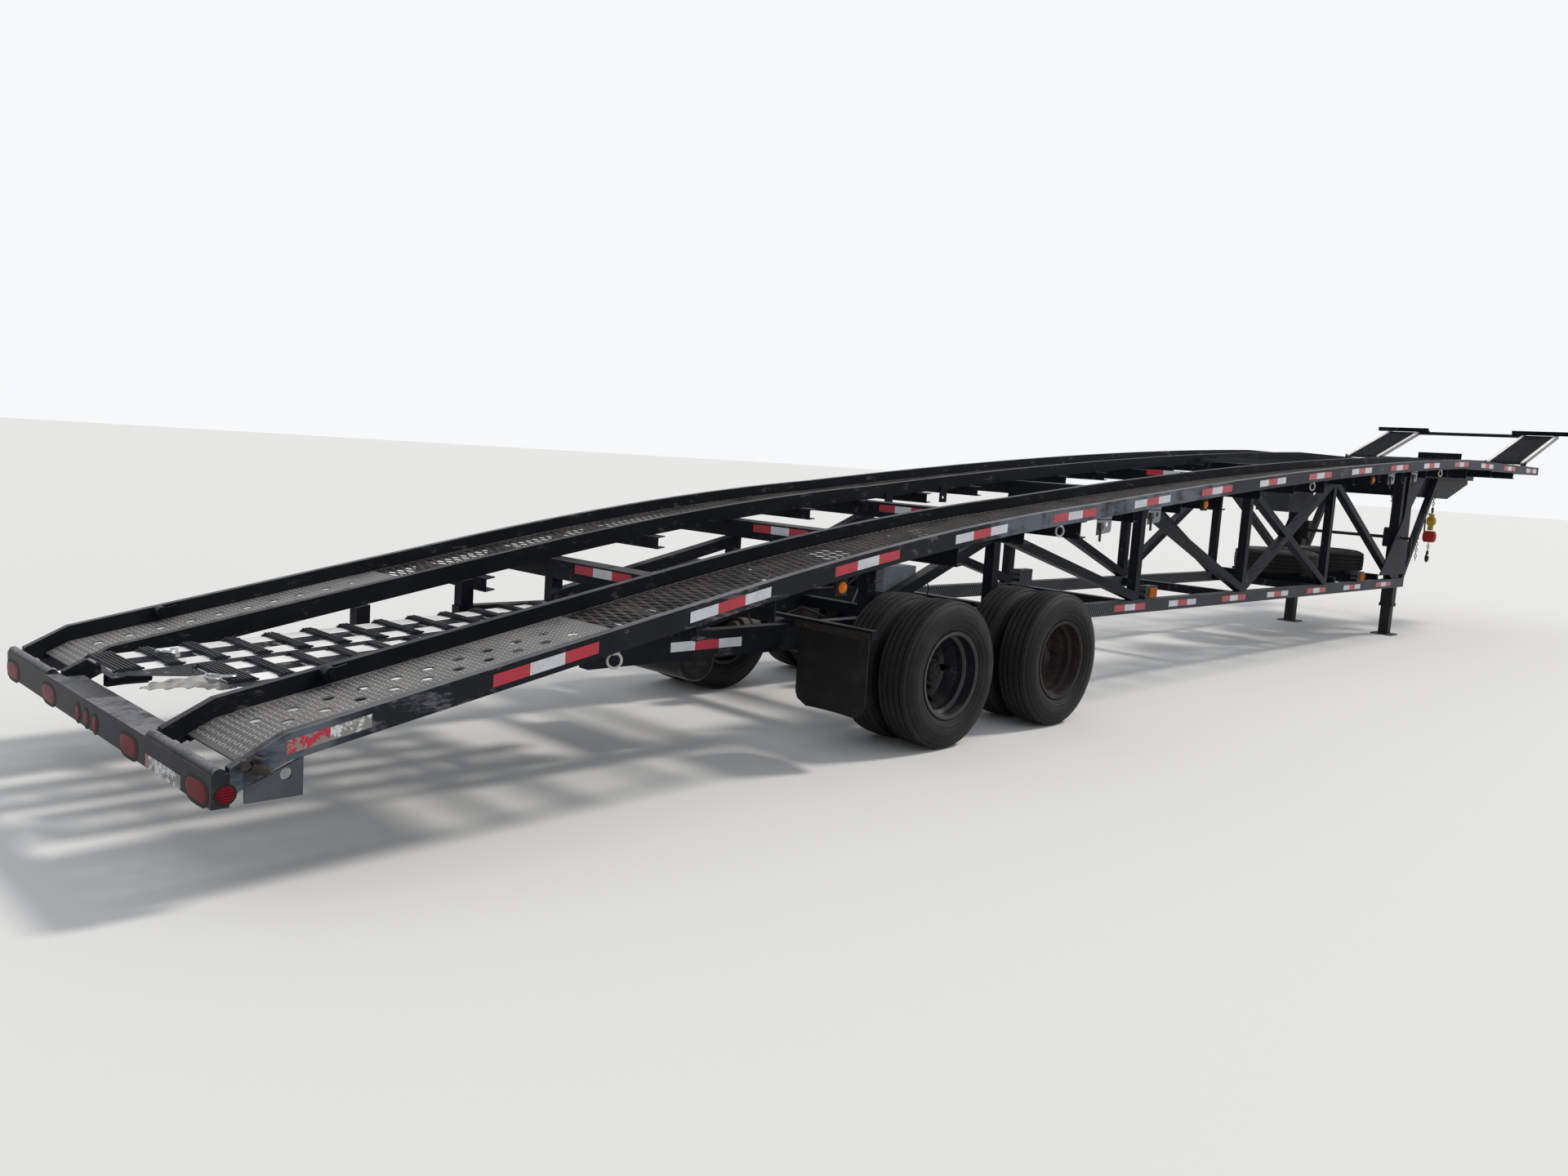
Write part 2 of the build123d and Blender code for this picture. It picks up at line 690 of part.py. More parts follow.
def hub_section():
    """half section of hub and drum about the meeting plane of the discs, outboard positive"""
    bore = spindle_radius + bearing_gap
    back = -disc_thickness
    drum_bore = drum_radius - drum_wall
    points = (
        (-150, bore), (60, bore), (60, 0), (125, 0), (125, 52), (100, 62), (100, 78), (40, 84), (40, 100),
        (25, 109.5), (back, 109.5), (back, 155), (back - 14, 162), (-97, drum_radius),
        (-drum_inner_end, drum_radius), (-drum_inner_end, drum_bore), (-107, drum_bore),
        (-45, 160), (-40, 92), (-150, 84),
    )
    with BuildSketch() as section:
        with BuildLine():
            Polyline(points, close=True)
        make_face()
    return section.sketch


def wheel_plane(station, y, outboard):
    """section plane through an axle: local x outboard or inboard, local y the radius"""
    return Plane((station - middle, y, axle_height), x_dir=(0, outboard, 0), z_dir=(outboard, 0, 0))


# Place, station, side of each twin wheel
wheel_table = (
    ("rear_right", rear_axle_station, -1), ("rear_left", rear_axle_station, 1),
    ("front_right", front_axle_station, -1), ("front_left", front_axle_station, 1),
)
for place, station, side in wheel_table:
    axle_line = Axis((station - middle, 0, axle_height), (0, 1, 0))
    twins = [(side * way, side * (hub_y + way * dual_spacing / 2)) for way in (-1, 1)]
    with BuildPart() as tyres:
        for outboard, y in twins:
            with BuildSketch(wheel_plane(station, y, side)):
                add(tyre_section())
            revolve(axis=axle_line)
    save(tyres, place + "_tyres")
    with BuildPart() as rims:
        for outboard, y in twins:
            with BuildSketch(wheel_plane(station, y, outboard)):
                add(rim_section(dual_spacing / 2))
            revolve(axis=axle_line)
        for outboard, y in twins:
            with BuildSketch(side_plane(y - outboard * 0.72 * dual_spacing / 2)):
                with Locations((station, axle_height)):
                    with PolarLocations(hand_hole_circle, hand_holes):
                        Circle(hand_hole_radius)
            extrude(amount=45, both=True, mode=Mode.SUBTRACT)
    save(rims, place + "_rims")
    with BuildPart() as hub:
        with BuildSketch(wheel_plane(station, side * hub_y, side)):
            add(hub_section())
        revolve(axis=axle_line)
    save(hub, place + "_hub")

# Mud flaps behind the rear wheels, on their bar
flap_inner = frame_outer + 10
flap_outer = half_width - 35
flap_top = frame_beam_top + flap_bar
with BuildPart() as mud_flaps:
    with BuildSketch(side_plane(-(flap_inner + flap_outer) / 2)):
        with Locations((flap_station - flap_thickness / 2, (flap_top + flap_bottom) / 2)):
            Rectangle(flap_thickness, flap_top - flap_bottom)
    extrude(amount=(flap_outer - flap_inner) / 2, both=True)
    mirror(about=Plane.XZ)
save(mud_flaps, "mud_flaps")

# Landing legs with collar and gear housing, and their cross shaft with the crank
collar_height = 40.0
collar_proud = 8.0
gear_depth = 60.0
gear_height = 230.0
shaft_radius = 19.0
crank_radius = 16.0
crank_reach = 120.0
crank_arm = 180.0
with BuildPart() as landing_legs:
    with BuildSketch(side_plane(-leg_y)):
        add(under_deck(leg_station - leg_width / 2, leg_station + leg_width / 2, neck_drop, leg_tube_bottom))
    extrude(amount=leg_width / 2, both=True)
    with BuildSketch(level_plane(leg_tube_bottom)):
        with Locations((leg_station, -leg_y)):
            Rectangle(leg_width + 2 * collar_proud, leg_width + 2 * collar_proud)
    extrude(amount=collar_height)
    with BuildSketch(level_plane(0)):
        with Locations((leg_station, -leg_y)):
            Rectangle(leg_inner_width, leg_inner_width)
    extrude(amount=leg_tube_bottom)
    with BuildSketch(level_plane(0)):
        with Locations((leg_station, -leg_y)):
            RectangleRounded(foot_size, foot_size, foot_size / 6)
    extrude(amount=foot_thickness)
    with BuildSketch(side_plane(-(leg_y - leg_width / 2 - gear_depth / 2))):
        with Locations((leg_station, crank_height)):
            RectangleRounded(leg_width * 0.8, gear_height, 30)
    extrude(amount=gear_depth / 2, both=True)
    mirror(about=Plane.XZ)
save(landing_legs, "landing_legs")

with BuildPart() as leg_cross_shaft:
    with BuildSketch(side_plane(0)):
        with Locations((leg_station, crank_height)):
            Circle(shaft_radius)
    extrude(amount=leg_y - leg_width / 2 - gear_depth, both=True)
    with BuildSketch(side_plane(-(leg_y + leg_width / 2))):
        with Locations((leg_station, crank_height)):
            Circle(crank_radius)
    extrude(amount=crank_reach)
    with BuildSketch(side_plane(-(leg_y + leg_width / 2 + crank_reach - 6))):
        with Locations((leg_station, crank_height - crank_arm / 2)):
            SlotOverall(crank_arm + 2 * crank_radius, 2 * crank_radius, rotation=90)
    extrude(amount=6, both=True)
save(leg_cross_shaft, "leg_cross_shaft")

# Neck beams, coupler and kingpin
with BuildPart() as neck_beams:
    with BuildSketch(side_plane(-member_y)):
        add(strip(neck_rear, deck_length - neck_front, rail_height, neck_drop))
    extrude(amount=member_width / 2, both=True)
    mirror(about=Plane.XZ)
save(neck_beams, "neck_beams")

rear, bend, front = (deck_length - x for x in (coupler_rear, coupler_bend, coupler_front))
front_bottom = coupler_bottom + coupler_rise
pin_station = deck_length - kingpin_station
web_height = 180.0
web_spacing = 300.0
with BuildPart() as upper_coupler:
    with BuildSketch(side_plane(0)):
        with BuildLine():
            Polyline(
                (rear, coupler_bottom),
                (bend, coupler_bottom),
                (front, front_bottom),
                (front, rail_top(front) - under_beam),
                (rear, rail_top(rear) - under_beam),
                close=True,
            )
        make_face()
    extrude(amount=frame_inner, both=True)
    with BuildSketch(side_plane(0)):
        with BuildLine():
            Polyline(
                (rear + coupler_plate, coupler_bottom + coupler_plate),
                (bend, coupler_bottom + coupler_plate),
                (front - coupler_plate, front_bottom + coupler_plate),
                (front - coupler_plate, nose_height),
                (rear + coupler_plate, nose_height),
                close=True,
            )
        make_face()
    extrude(amount=frame_inner - coupler_plate, both=True, mode=Mode.SUBTRACT)
    with BuildSketch(side_plane(0)):
        for way in (-1, 1):
            with Locations((pin_station + way * web_spacing / 2, coupler_bottom + web_height / 2)):
                Rectangle(coupler_plate, web_height)
    extrude(amount=frame_inner, both=True)
    with BuildSketch(level_plane(coupler_bottom)):
        with Locations((pin_station, 0)):
            Circle(pin_shank_radius + pin_clearance)
    extrude(amount=coupler_plate, mode=Mode.SUBTRACT)
save(upper_coupler, "upper_coupler")

# Kingpin: radius and length of each step down from the flange on the plate's upper side
pin_steps = (
    (pin_flange_radius, pin_flange_thickness),
    (pin_shank_radius, coupler_plate + 30.0),
    (kingpin_radius, 36.0),
    (35.7, 18.0),
)
with BuildPart() as kingpin:
    level = coupler_bottom + coupler_plate + pin_flange_thickness
    for radius, length in pin_steps:
        with BuildSketch(level_plane(level)):
            with Locations((pin_station, 0)):
                Circle(radius)
        extrude(amount=-length)
        level -= length
save(kingpin, "kingpin")

# Bumper with a centre step, and a pipe edge at the end of each runway
bumper_top = bumper_bottom + bumper_height
edge_radius = 22.0
step_depth = 130.0
step_thickness = 20.0
with BuildPart() as rear_bumper:
    with BuildSketch(side_plane(0)):
        with Locations((bumper_depth / 2, bumper_bottom + bumper_height / 2)):
            Rectangle(bumper_depth, bumper_height)
    extrude(amount=half_width, both=True)
    with BuildSketch(side_plane(0)):
        with Locations(((bumper_depth + step_depth) / 2, bumper_top - step_thickness / 2)):
            Rectangle(step_depth - bumper_depth, step_thickness)
    extrude(amount=frame_inner, both=True)
    with BuildSketch(side_plane(-(frame_outer + half_width) / 2)):
        with Locations((edge_radius + 4, bumper_top)):
            Circle(edge_radius)
    extrude(amount=(half_width - frame_outer) / 2, both=True)
    mirror(about=Plane.XZ)
save(rear_bumper, "rear_bumper")

# Rear lamps: side and distance from the bumper's end of each oval lens, y of the round ones
lamp_height = bumper_bottom + 39
oval_table = ((-1, 131.5), (-1, 827.5), (1, 700.5), (1, 105.5))
round_table = (-60.0, 55.0, 170.0)
with BuildPart() as rear_lamps:
    with BuildSketch(cross_plane(0)):
        for side, inset in oval_table:
            with Locations((side * (half_width - inset), lamp_height)):
                SlotOverall(165, 60)
        for y in round_table:
            with Locations((y, lamp_height)):
                Circle(32)
    extrude(amount=-lens_proud)
save(rear_lamps, "rear_lamps")

# Side marker lamps: round ones under the outer rails, as bay and share of it, each on its tab
marker_table = ((0, 0.324), (2, 0.87), (4, 0.604))
marker_drop = 150.0
marker_inset = 30.0
marker_depth = 20.0
marker_radius = 38.0
lens_size = 120.0          # square ones, on the boxes of the lower rails
with BuildPart() as marker_lamps:
    for bay, share in marker_table:
        station = in_bay(bay, share)
        centre = rail_top(station) - marker_drop
        with BuildSketch(side_plane(-(half_width - marker_inset))):
            with Locations((station, centre)):
                Circle(marker_radius)
            add(under_deck(station - 15, station + 15, rail_height, centre))
        extrude(amount=marker_depth)
    with BuildSketch(side_plane(-frame_outer)):
        for bay, share in lamp_box_table:
            with Locations((in_bay(bay, share) + 20, chord_top + lamp_box_height / 2)):
                RectangleRounded(lens_size, lamp_box_height * 0.75, 12)
    extrude(amount=12)
    mirror(about=Plane.XZ)
save(marker_lamps, "marker_lamps")

# Tie-down plates: rear corner plates, and hanging plates under the outer rails as bay and share of it
corner_start, corner_end = 110.0, 310.0
corner_bottom = bumper_bottom + 4
tie_hole = (60.0, 85.0)    # ahead of the plate's front end backwards, above its foot
tie_hole_radius = 22.0
tie_plate_thickness = 12.0
tie_plate_table = ((2, 0.118), (2, 0.432), (4, 0.811), (5, 0.137))
tie_plate_length = 110.0
tie_plate_depth = 125.0
small_hole_radius = 16.0
with BuildPart() as tie_down_plates:
    with BuildSketch(side_plane(-(half_width - tie_plate_thickness))):
        add(under_deck(corner_start, corner_end, rail_height, corner_bottom))
        with Locations((corner_end - tie_hole[0], corner_bottom + tie_hole[1])):
            Circle(tie_hole_radius, mode=Mode.SUBTRACT)
        for bay, share in tie_plate_table:
            station = in_bay(bay, share)
            floor = rail_top(station) - rail_height - tie_plate_depth
            reach = tie_plate_length / 2
            add(under_deck(station - reach, station + reach, rail_height, floor))
            with Locations((station + reach * 0.4, floor + tie_plate_depth / 2)):
                Circle(small_hole_radius, mode=Mode.SUBTRACT)
    extrude(amount=tie_plate_thickness)
    mirror(about=Plane.XZ)
save(tie_down_plates, "tie_down_plates")

# Spare wheels lying flat on their carriers
spare_level = carrier_top + tyre_width / 2
spare_planes = [
    Plane((station - middle, 0, spare_level), x_dir=(0, 0, 1), z_dir=(0, 1, 0)) for station in spare_stations
]
spare_axes = [Axis((station - middle, 0, 0), (0, 0, 1)) for station in spare_stations]
with BuildPart() as spare_tyres:
    for plane, axis in zip(spare_planes, spare_axes):
        with BuildSketch(plane):
            add(tyre_section())
        revolve(axis=axis)
save(spare_tyres, "spare_tyres")
with BuildPart() as spare_rims:
    for plane, axis in zip(spare_planes, spare_axes):
        with BuildSketch(plane):
            add(rim_section(tyre_width / 2))
        revolve(axis=axis)
save(spare_rims, "spare_rims")

# Tool box hung on two straps from bars between the inner rails
box_behind_post = 65.0
box_end = posts[-2] - box_behind_post
box_start = box_end - tool_box_size[0]
box_top = rail_top(box_start) - tool_box_drop
strap_thickness = 8.0
strap_width = 40.0
strap_inset = 120.0
bar_drop = 30.0
inner_rail_inner = frame_outer - rail_width
with BuildPart() as tool_box:
    with BuildSketch(level_plane(box_top)):
        with Locations(((box_start + box_end) / 2, tool_box_y)):
            Rectangle(tool_box_size[0], tool_box_size[1])
    extrude(amount=-tool_box_size[2])
    for station in (box_start + strap_inset, box_end - strap_inset):
        bar_top = rail_top(station) - bar_drop
        with BuildSketch(cross_plane(station)):
            with Locations((0, bar_top - strap_width / 2)):
                Rectangle(2 * inner_rail_inner, strap_width)
            for way in (-1, 1):
                y = tool_box_y + way * (tool_box_size[1] / 2 - strap_width)
                with Locations((y, (bar_top + box_top) / 2)):
                    Rectangle(strap_width, bar_top - box_top)
        extrude(amount=strap_thickness / 2, both=True)
save(tool_box, "tool_box")

# Equipment box on the inner face of the right truss, over the rear axle, held by the brace
equipment_ahead = 360.0    # its middle, ahead of the rear axle's post
equipment_station = bays[1][0] + equipment_ahead
line_start, line_end = brace_line(1, True)
brace_slope = (line_end[1] - line_start[1]) / (line_end[0] - line_start[0])
equipment_floor = line_start[1] + brace_slope * (equipment_station - line_start[0]) - brace_width / 4
with BuildPart() as equipment_box:
    with BuildSketch(level_plane(equipment_floor)):
        with Locations((equipment_station, -frame_inner + equipment_box_size[1] / 2)):
            Rectangle(equipment_box_size[0], equipment_box_size[1])
    extrude(amount=equipment_box_size[2])
save(equipment_box, "equipment_box")

with BuildPart() as air_tank:
    with BuildSketch(side_plane(0)):
        with Locations((tie_stations[0], tie_top - tie_height - tank_radius)):
            Circle(tank_radius)
    extrude(amount=tank_length / 2, both=True)
    fillet(air_tank.edges().filter_by(GeomType.CIRCLE), tank_radius / 3)
save(air_tank, "air_tank")

# Lever chain hoist hanging under the right neck beam, ahead of the nose brace
hoist_station = brace_head[0] + 80
hoist_y = frame_inner + 20
hoist_top = rail_top(hoist_station) - neck_drop
hoist_steps = (         # radius, start and end below the neck beam: chain, gear case, body, chain
    (8.0, 0.0, 430.0), (70.0, 430.0, 560.0), (52.0, 560.0, 790.0), (8.0, 790.0, 1020.0),
)
hook_radius = 45.0
hook_bore = 24.0
hook_level = hoist_top - 1060
with BuildPart() as chain_hoist:
    for radius, above, below in hoist_steps:
        with BuildSketch(level_plane(hoist_top - above)):
            with Locations((hoist_station, -hoist_y)):
                Circle(radius)
        extrude(amount=above - below)
    with BuildSketch(side_plane(-hoist_y)):
        with Locations((hoist_station, hook_level)):
            Circle(hook_radius)
            Circle(hook_bore, mode=Mode.SUBTRACT)
        with Locations((hoist_station - hook_radius, hook_level + hook_bore)):
            Rectangle(hook_radius, hook_radius, mode=Mode.SUBTRACT)
    extrude(amount=10, both=True)
save(chain_hoist, "chain_hoist")


def ladder_plane(station, height, slope, y):
    """sloping plane of a ramp: local x up along it, local y the model's y"""
    return Plane((station - middle, y, height), x_dir=(1, 0, slope), z_dir=(-slope, 0, 1))


# Stowed loading ramps: y of the centre, station of the rear end
stowed_table = ((245.0, 110.0), (-245.0, 390.0))
rung_width = 64.0
rung_pitch = 187.0
stowed_first_rung = 20.0
from_below = (Align.MIN, Align.CENTER, Align.MIN)
ladders = []
for y, station in stowed_table:
    with BuildPart(ladder_plane(station, stowed_base + stowed_slope * station, stowed_slope, y)) as ladder:
        for side in (-1, 1):
            with Locations((0, side * (stowed_ramp_width - stowed_rail_width) / 2, 0)):
                Box(stowed_ramp_length, stowed_rail_width, stowed_rail_height, align=from_below)
        for k in range(int(stowed_ramp_length / rung_pitch)):
            with Locations((stowed_first_rung + k * rung_pitch, 0, stowed_rail_height)):
                Box(rung_width, stowed_ramp_width, stowed_rung_height, align=from_below)
    ladders.append(ladder.part)
with BuildPart() as loading_ramps:
    add(ladders)
save(loading_ramps, "loading_ramps")

# Head ramps with an angle across each top end
rung_count = 11
knuckle_radius = 24.0
first_rung = 60.0
last_rung = 120.0          # from the top end
plate_leg = 70.0
plate_gauge = 10.0
from_end = (Align.MIN, Align.CENTER, Align.CENTER)
head_centre = (head_ramp_inner + head_ramp_outer) / 2
head_plate_y = head_centre + (head_plate_outer - head_plate_inner) / 2
head_plate_width = head_ramp_width + head_plate_inner + head_plate_outer
head_plane = ladder_plane(pivot_station, pivot_height, tan(tilt), 0)
across = (90, 0, 0)
with BuildPart(head_plane) as head_ramps:
    for side in (-1, 1):
        for edge in (-1, 1):
            y = side * head_centre + edge * (head_ramp_width - head_rail_width) / 2
            with Locations((-knuckle_radius, y, 0)):
                Box(head_ramp_length + knuckle_radius, head_rail_width, head_rail_height, align=from_end)
        for k in range(rung_count):
            x = first_rung + k * (head_ramp_length - first_rung - last_rung) / (rung_count - 1)
            with Locations((x, side * head_centre, 0)):
                Box(60, head_ramp_width, 30, align=from_end)
        with Locations((head_ramp_length - plate_leg, side * head_plate_y, head_rail_height / 2)):
            Box(plate_leg, head_plate_width, plate_gauge, align=from_below)
            Box(plate_gauge, head_plate_width, head_plate_height, align=from_below)
        with Locations(Location((0, side * head_centre, 0), across)):
            Cylinder(knuckle_radius, head_ramp_width)
    with Locations(Location((0, 0, 0), across)):
        Cylinder(pivot_radius + pivot_gap, overall_width, mode=Mode.SUBTRACT)
save(head_ramps, "head_ramps")

with BuildPart(head_plane) as head_ramp_bar:
    with Locations(Location((head_ramp_length - 35, 0, 0), across)):
        Cylinder(14, 2 * head_ramp_inner)
save(head_ramp_bar, "head_ramp_bar")

# Front bar with the ears and pins of the head ramps, the tube between them and its centre plate
ear_radius = 30.0
inner_ear = head_ramp_inner - ear_gap - ear_thickness / 2
outer_ear = head_ramp_outer + ear_gap + ear_thickness / 2
tube_radius = 20.0
centre_plate_y = -95.0
centre_plate_width = 550.0
centre_plate_height = 142.0
with BuildPart() as front_bar:
    with BuildSketch(side_plane(0)):
        with Locations((deck_length - front_bar_depth / 2, nose_height - front_bar_height / 2)):
            Rectangle(front_bar_depth, front_bar_height)
    extrude(amount=half_width, both=True)
    for side in (-1, 1):
        for ear_y in (inner_ear, outer_ear):
            with BuildSketch(side_plane(side * ear_y)):
                with Locations((pivot_station, (nose_height + pivot_height) / 2)):
                    Rectangle(2 * ear_radius, pivot_above)
                with Locations((pivot_station, pivot_height)):
                    Circle(ear_radius)
            extrude(amount=ear_thickness / 2, both=True)
        with BuildSketch(side_plane(side * (inner_ear + outer_ear) / 2)):
            with Locations((pivot_station, pivot_height)):
                Circle(pivot_radius)
        extrude(amount=(outer_ear - inner_ear) / 2, both=True)
    with BuildSketch(side_plane(0)):
        with Locations((pivot_station, pivot_height)):
            Circle(tube_radius)
    extrude(amount=inner_ear, both=True)
    with BuildSketch(side_plane(centre_plate_y)):
        with Locations((pivot_station, nose_height + centre_plate_height / 2)):
            Rectangle(plate_thickness, centre_plate_height)
    extrude(amount=centre_plate_width / 2, both=True)
save(front_bar, "front_bar")

print("overall length", round(front_most + lens_proud, 1), "origin station", round(middle, 1))
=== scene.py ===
import bisect
import json
import math

import bmesh
import bpy
from mathutils import Matrix, Vector


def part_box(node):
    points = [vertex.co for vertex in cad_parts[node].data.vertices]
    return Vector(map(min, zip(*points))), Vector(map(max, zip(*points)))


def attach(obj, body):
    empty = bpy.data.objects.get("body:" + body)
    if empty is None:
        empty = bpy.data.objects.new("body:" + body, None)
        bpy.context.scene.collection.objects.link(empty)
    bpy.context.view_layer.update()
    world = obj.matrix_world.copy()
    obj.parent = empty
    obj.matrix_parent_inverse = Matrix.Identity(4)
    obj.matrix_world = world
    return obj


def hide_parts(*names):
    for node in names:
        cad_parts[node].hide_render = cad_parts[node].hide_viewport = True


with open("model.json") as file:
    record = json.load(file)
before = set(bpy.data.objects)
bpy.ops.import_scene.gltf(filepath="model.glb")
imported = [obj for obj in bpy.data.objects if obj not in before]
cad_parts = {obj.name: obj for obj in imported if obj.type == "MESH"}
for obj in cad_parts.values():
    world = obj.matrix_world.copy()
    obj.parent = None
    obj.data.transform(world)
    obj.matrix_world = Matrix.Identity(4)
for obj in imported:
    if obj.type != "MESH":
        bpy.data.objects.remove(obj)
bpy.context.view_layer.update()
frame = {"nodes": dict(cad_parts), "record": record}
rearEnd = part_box("rear_bumper")[0].x    # stations are metres ahead of this
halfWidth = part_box("rear_bumper")[1].y
sides = (-1, 1)    # right, left
print("frame loaded")


def at(station, y, z):
    return Vector((rearEnd + station, y, z))


def span(side, *ends):
    return sorted(side * end for end in ends)


def around(radius, angle, x=0.0, z=0.0):
    return x + radius * math.cos(angle), z + radius * math.sin(angle)


def middleOf(node):
    low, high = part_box(node)
    return (low + high) / 2


def addObject(name, data):
    made = bpy.data.objects.new(name, data)
    bpy.context.scene.collection.objects.link(made)
    return made


# Camera at the photograph's place
camera = {
    "station": -1.4712, "y": -5.3041, "z": 1.6649,
    "yaw": 44.12, "pitch": -6.356, "roll": 3.784, "lens": 27.381, "sensor": 36, "farthest": 1000,
}


def makeCamera():
    yaw, pitch, roll = (math.radians(camera[k]) for k in ("yaw", "pitch", "roll"))
    forward = Vector((math.cos(yaw) * math.cos(pitch), math.sin(yaw) * math.cos(pitch), math.sin(pitch)))
    level = Vector((math.sin(yaw), -math.cos(yaw), 0))
    upright = level.cross(forward)
    right = math.cos(roll) * level + math.sin(roll) * upright
    up = math.cos(roll) * upright - math.sin(roll) * level
    turn = Matrix((right, up, -forward)).transposed()
    eye = addObject("photoCamera", bpy.data.cameras.new("photoCamera"))
    eye.data.lens = camera["lens"]
    eye.data.sensor_width = camera["sensor"]
    eye.data.clip_end = camera["farthest"]
    eye.matrix_world = Matrix.Translation(at(camera["station"], camera["y"], camera["z"])) @ turn.to_4x4()
    bpy.context.scene.camera = eye


makeCamera()
bpy.context.scene.view_settings.view_transform = "Standard"
print("camera set")


def feed(socket, value):
    if isinstance(value, Wire):
        value.tree.links.new(value.socket, socket)
    else:
        socket.default_value = value


# Shader maths: wraps one socket, so that an expression on values adds its Math nodes
class Wire:
    def __init__(self, tree, socket=None):
        self.tree, self.socket = tree, socket

    def node(self, kind, settings=None, sockets=None, out=0):
        made = self.tree.nodes.new("ShaderNode" + kind)
        for name, value in (settings or {}).items():
            setattr(made, name, value)
        for name, value in (sockets or {}).items():
            feed(made.inputs[name], value)
        return Wire(self.tree, made.outputs[out])

    def math(self, operation, *others):
        return self.node("Math", {"operation": operation}, dict(enumerate((self, *others))))

    def __add__(self, other):
        return self.math("ADD", other)

    def __sub__(self, other):
        return self.math("SUBTRACT", other)

    def __rsub__(self, other):
        return (self * -1.0).math("ADD", other)

    def __mul__(self, other):
        return self.math("MULTIPLY", other)

    def __mod__(self, other):
        return self.math("FLOORED_MODULO", other)

    def __lt__(self, other):
        return self.math("LESS_THAN", other)

    def __abs__(self):
        return self.math("ABSOLUTE")

    __radd__ = __add__
    __rmul__ = __mul__

    def clamped(self):
        return self.node("Clamp", None, {"Value": self})

    def between(self, low, high):
        return self.node("MapRange", {"interpolation_type": "SMOOTHSTEP"},
                         {"Value": self, "From Min": low, "From Max": high})

    def tint(self, first, second):
        return self.node("Mix", {"data_type": "RGBA"}, {0: self, 6: first, 7: second}, out=2)

    def bumped(self, strength, distance):
        return self.node("Bump", None, {"Height": self, "Strength": strength, "Distance": distance})


def startMaterial(name):
    material = bpy.data.materials.new(name)
    material.use_nodes = True
    place = Wire(material.node_tree).node("TexCoord", out="Object")
    return material, material.node_tree.nodes["Principled BSDF"], place


def noise(place, scale, detail=4.0, rough=0.55, stretch=None):
    if stretch:
        place = place.node("VectorMath", {"operation": "MULTIPLY"}, {0: place, 1: stretch})
    return place.node("TexNoise", None, {"Vector": place, "Scale": scale, "Detail": detail, "Roughness": rough})


def axes(place):
    return [place.node("SeparateXYZ", None, {0: place}, out=k) for k in range(3)]


def facingUp(place):
    return place.node("SeparateXYZ", None, {0: place.node("TexCoord", out="Normal")}, out=2)


def rgb(*values):
    return (*values, 1.0)


def scaled(colour, factor):
    return rgb(*[c * factor for c in colour[:3]])


def shade(shader, **values):
    names = {"colour": "Base Color", "rough": "Roughness", "metal": "Metallic", "normal": "Normal",
             "coat": "Coat Weight", "coatRough": "Coat Roughness", "specular": "Specular IOR Level"}
    for key, value in values.items():
        feed(shader.inputs[names[key]], value)


dustColour = rgb(0.20, 0.185, 0.16)
rustColour = rgb(0.13, 0.050, 0.022)
oldRust = rgb(0.050, 0.026, 0.016)
spanColour = rgb(0.092, 0.106, 0.132)


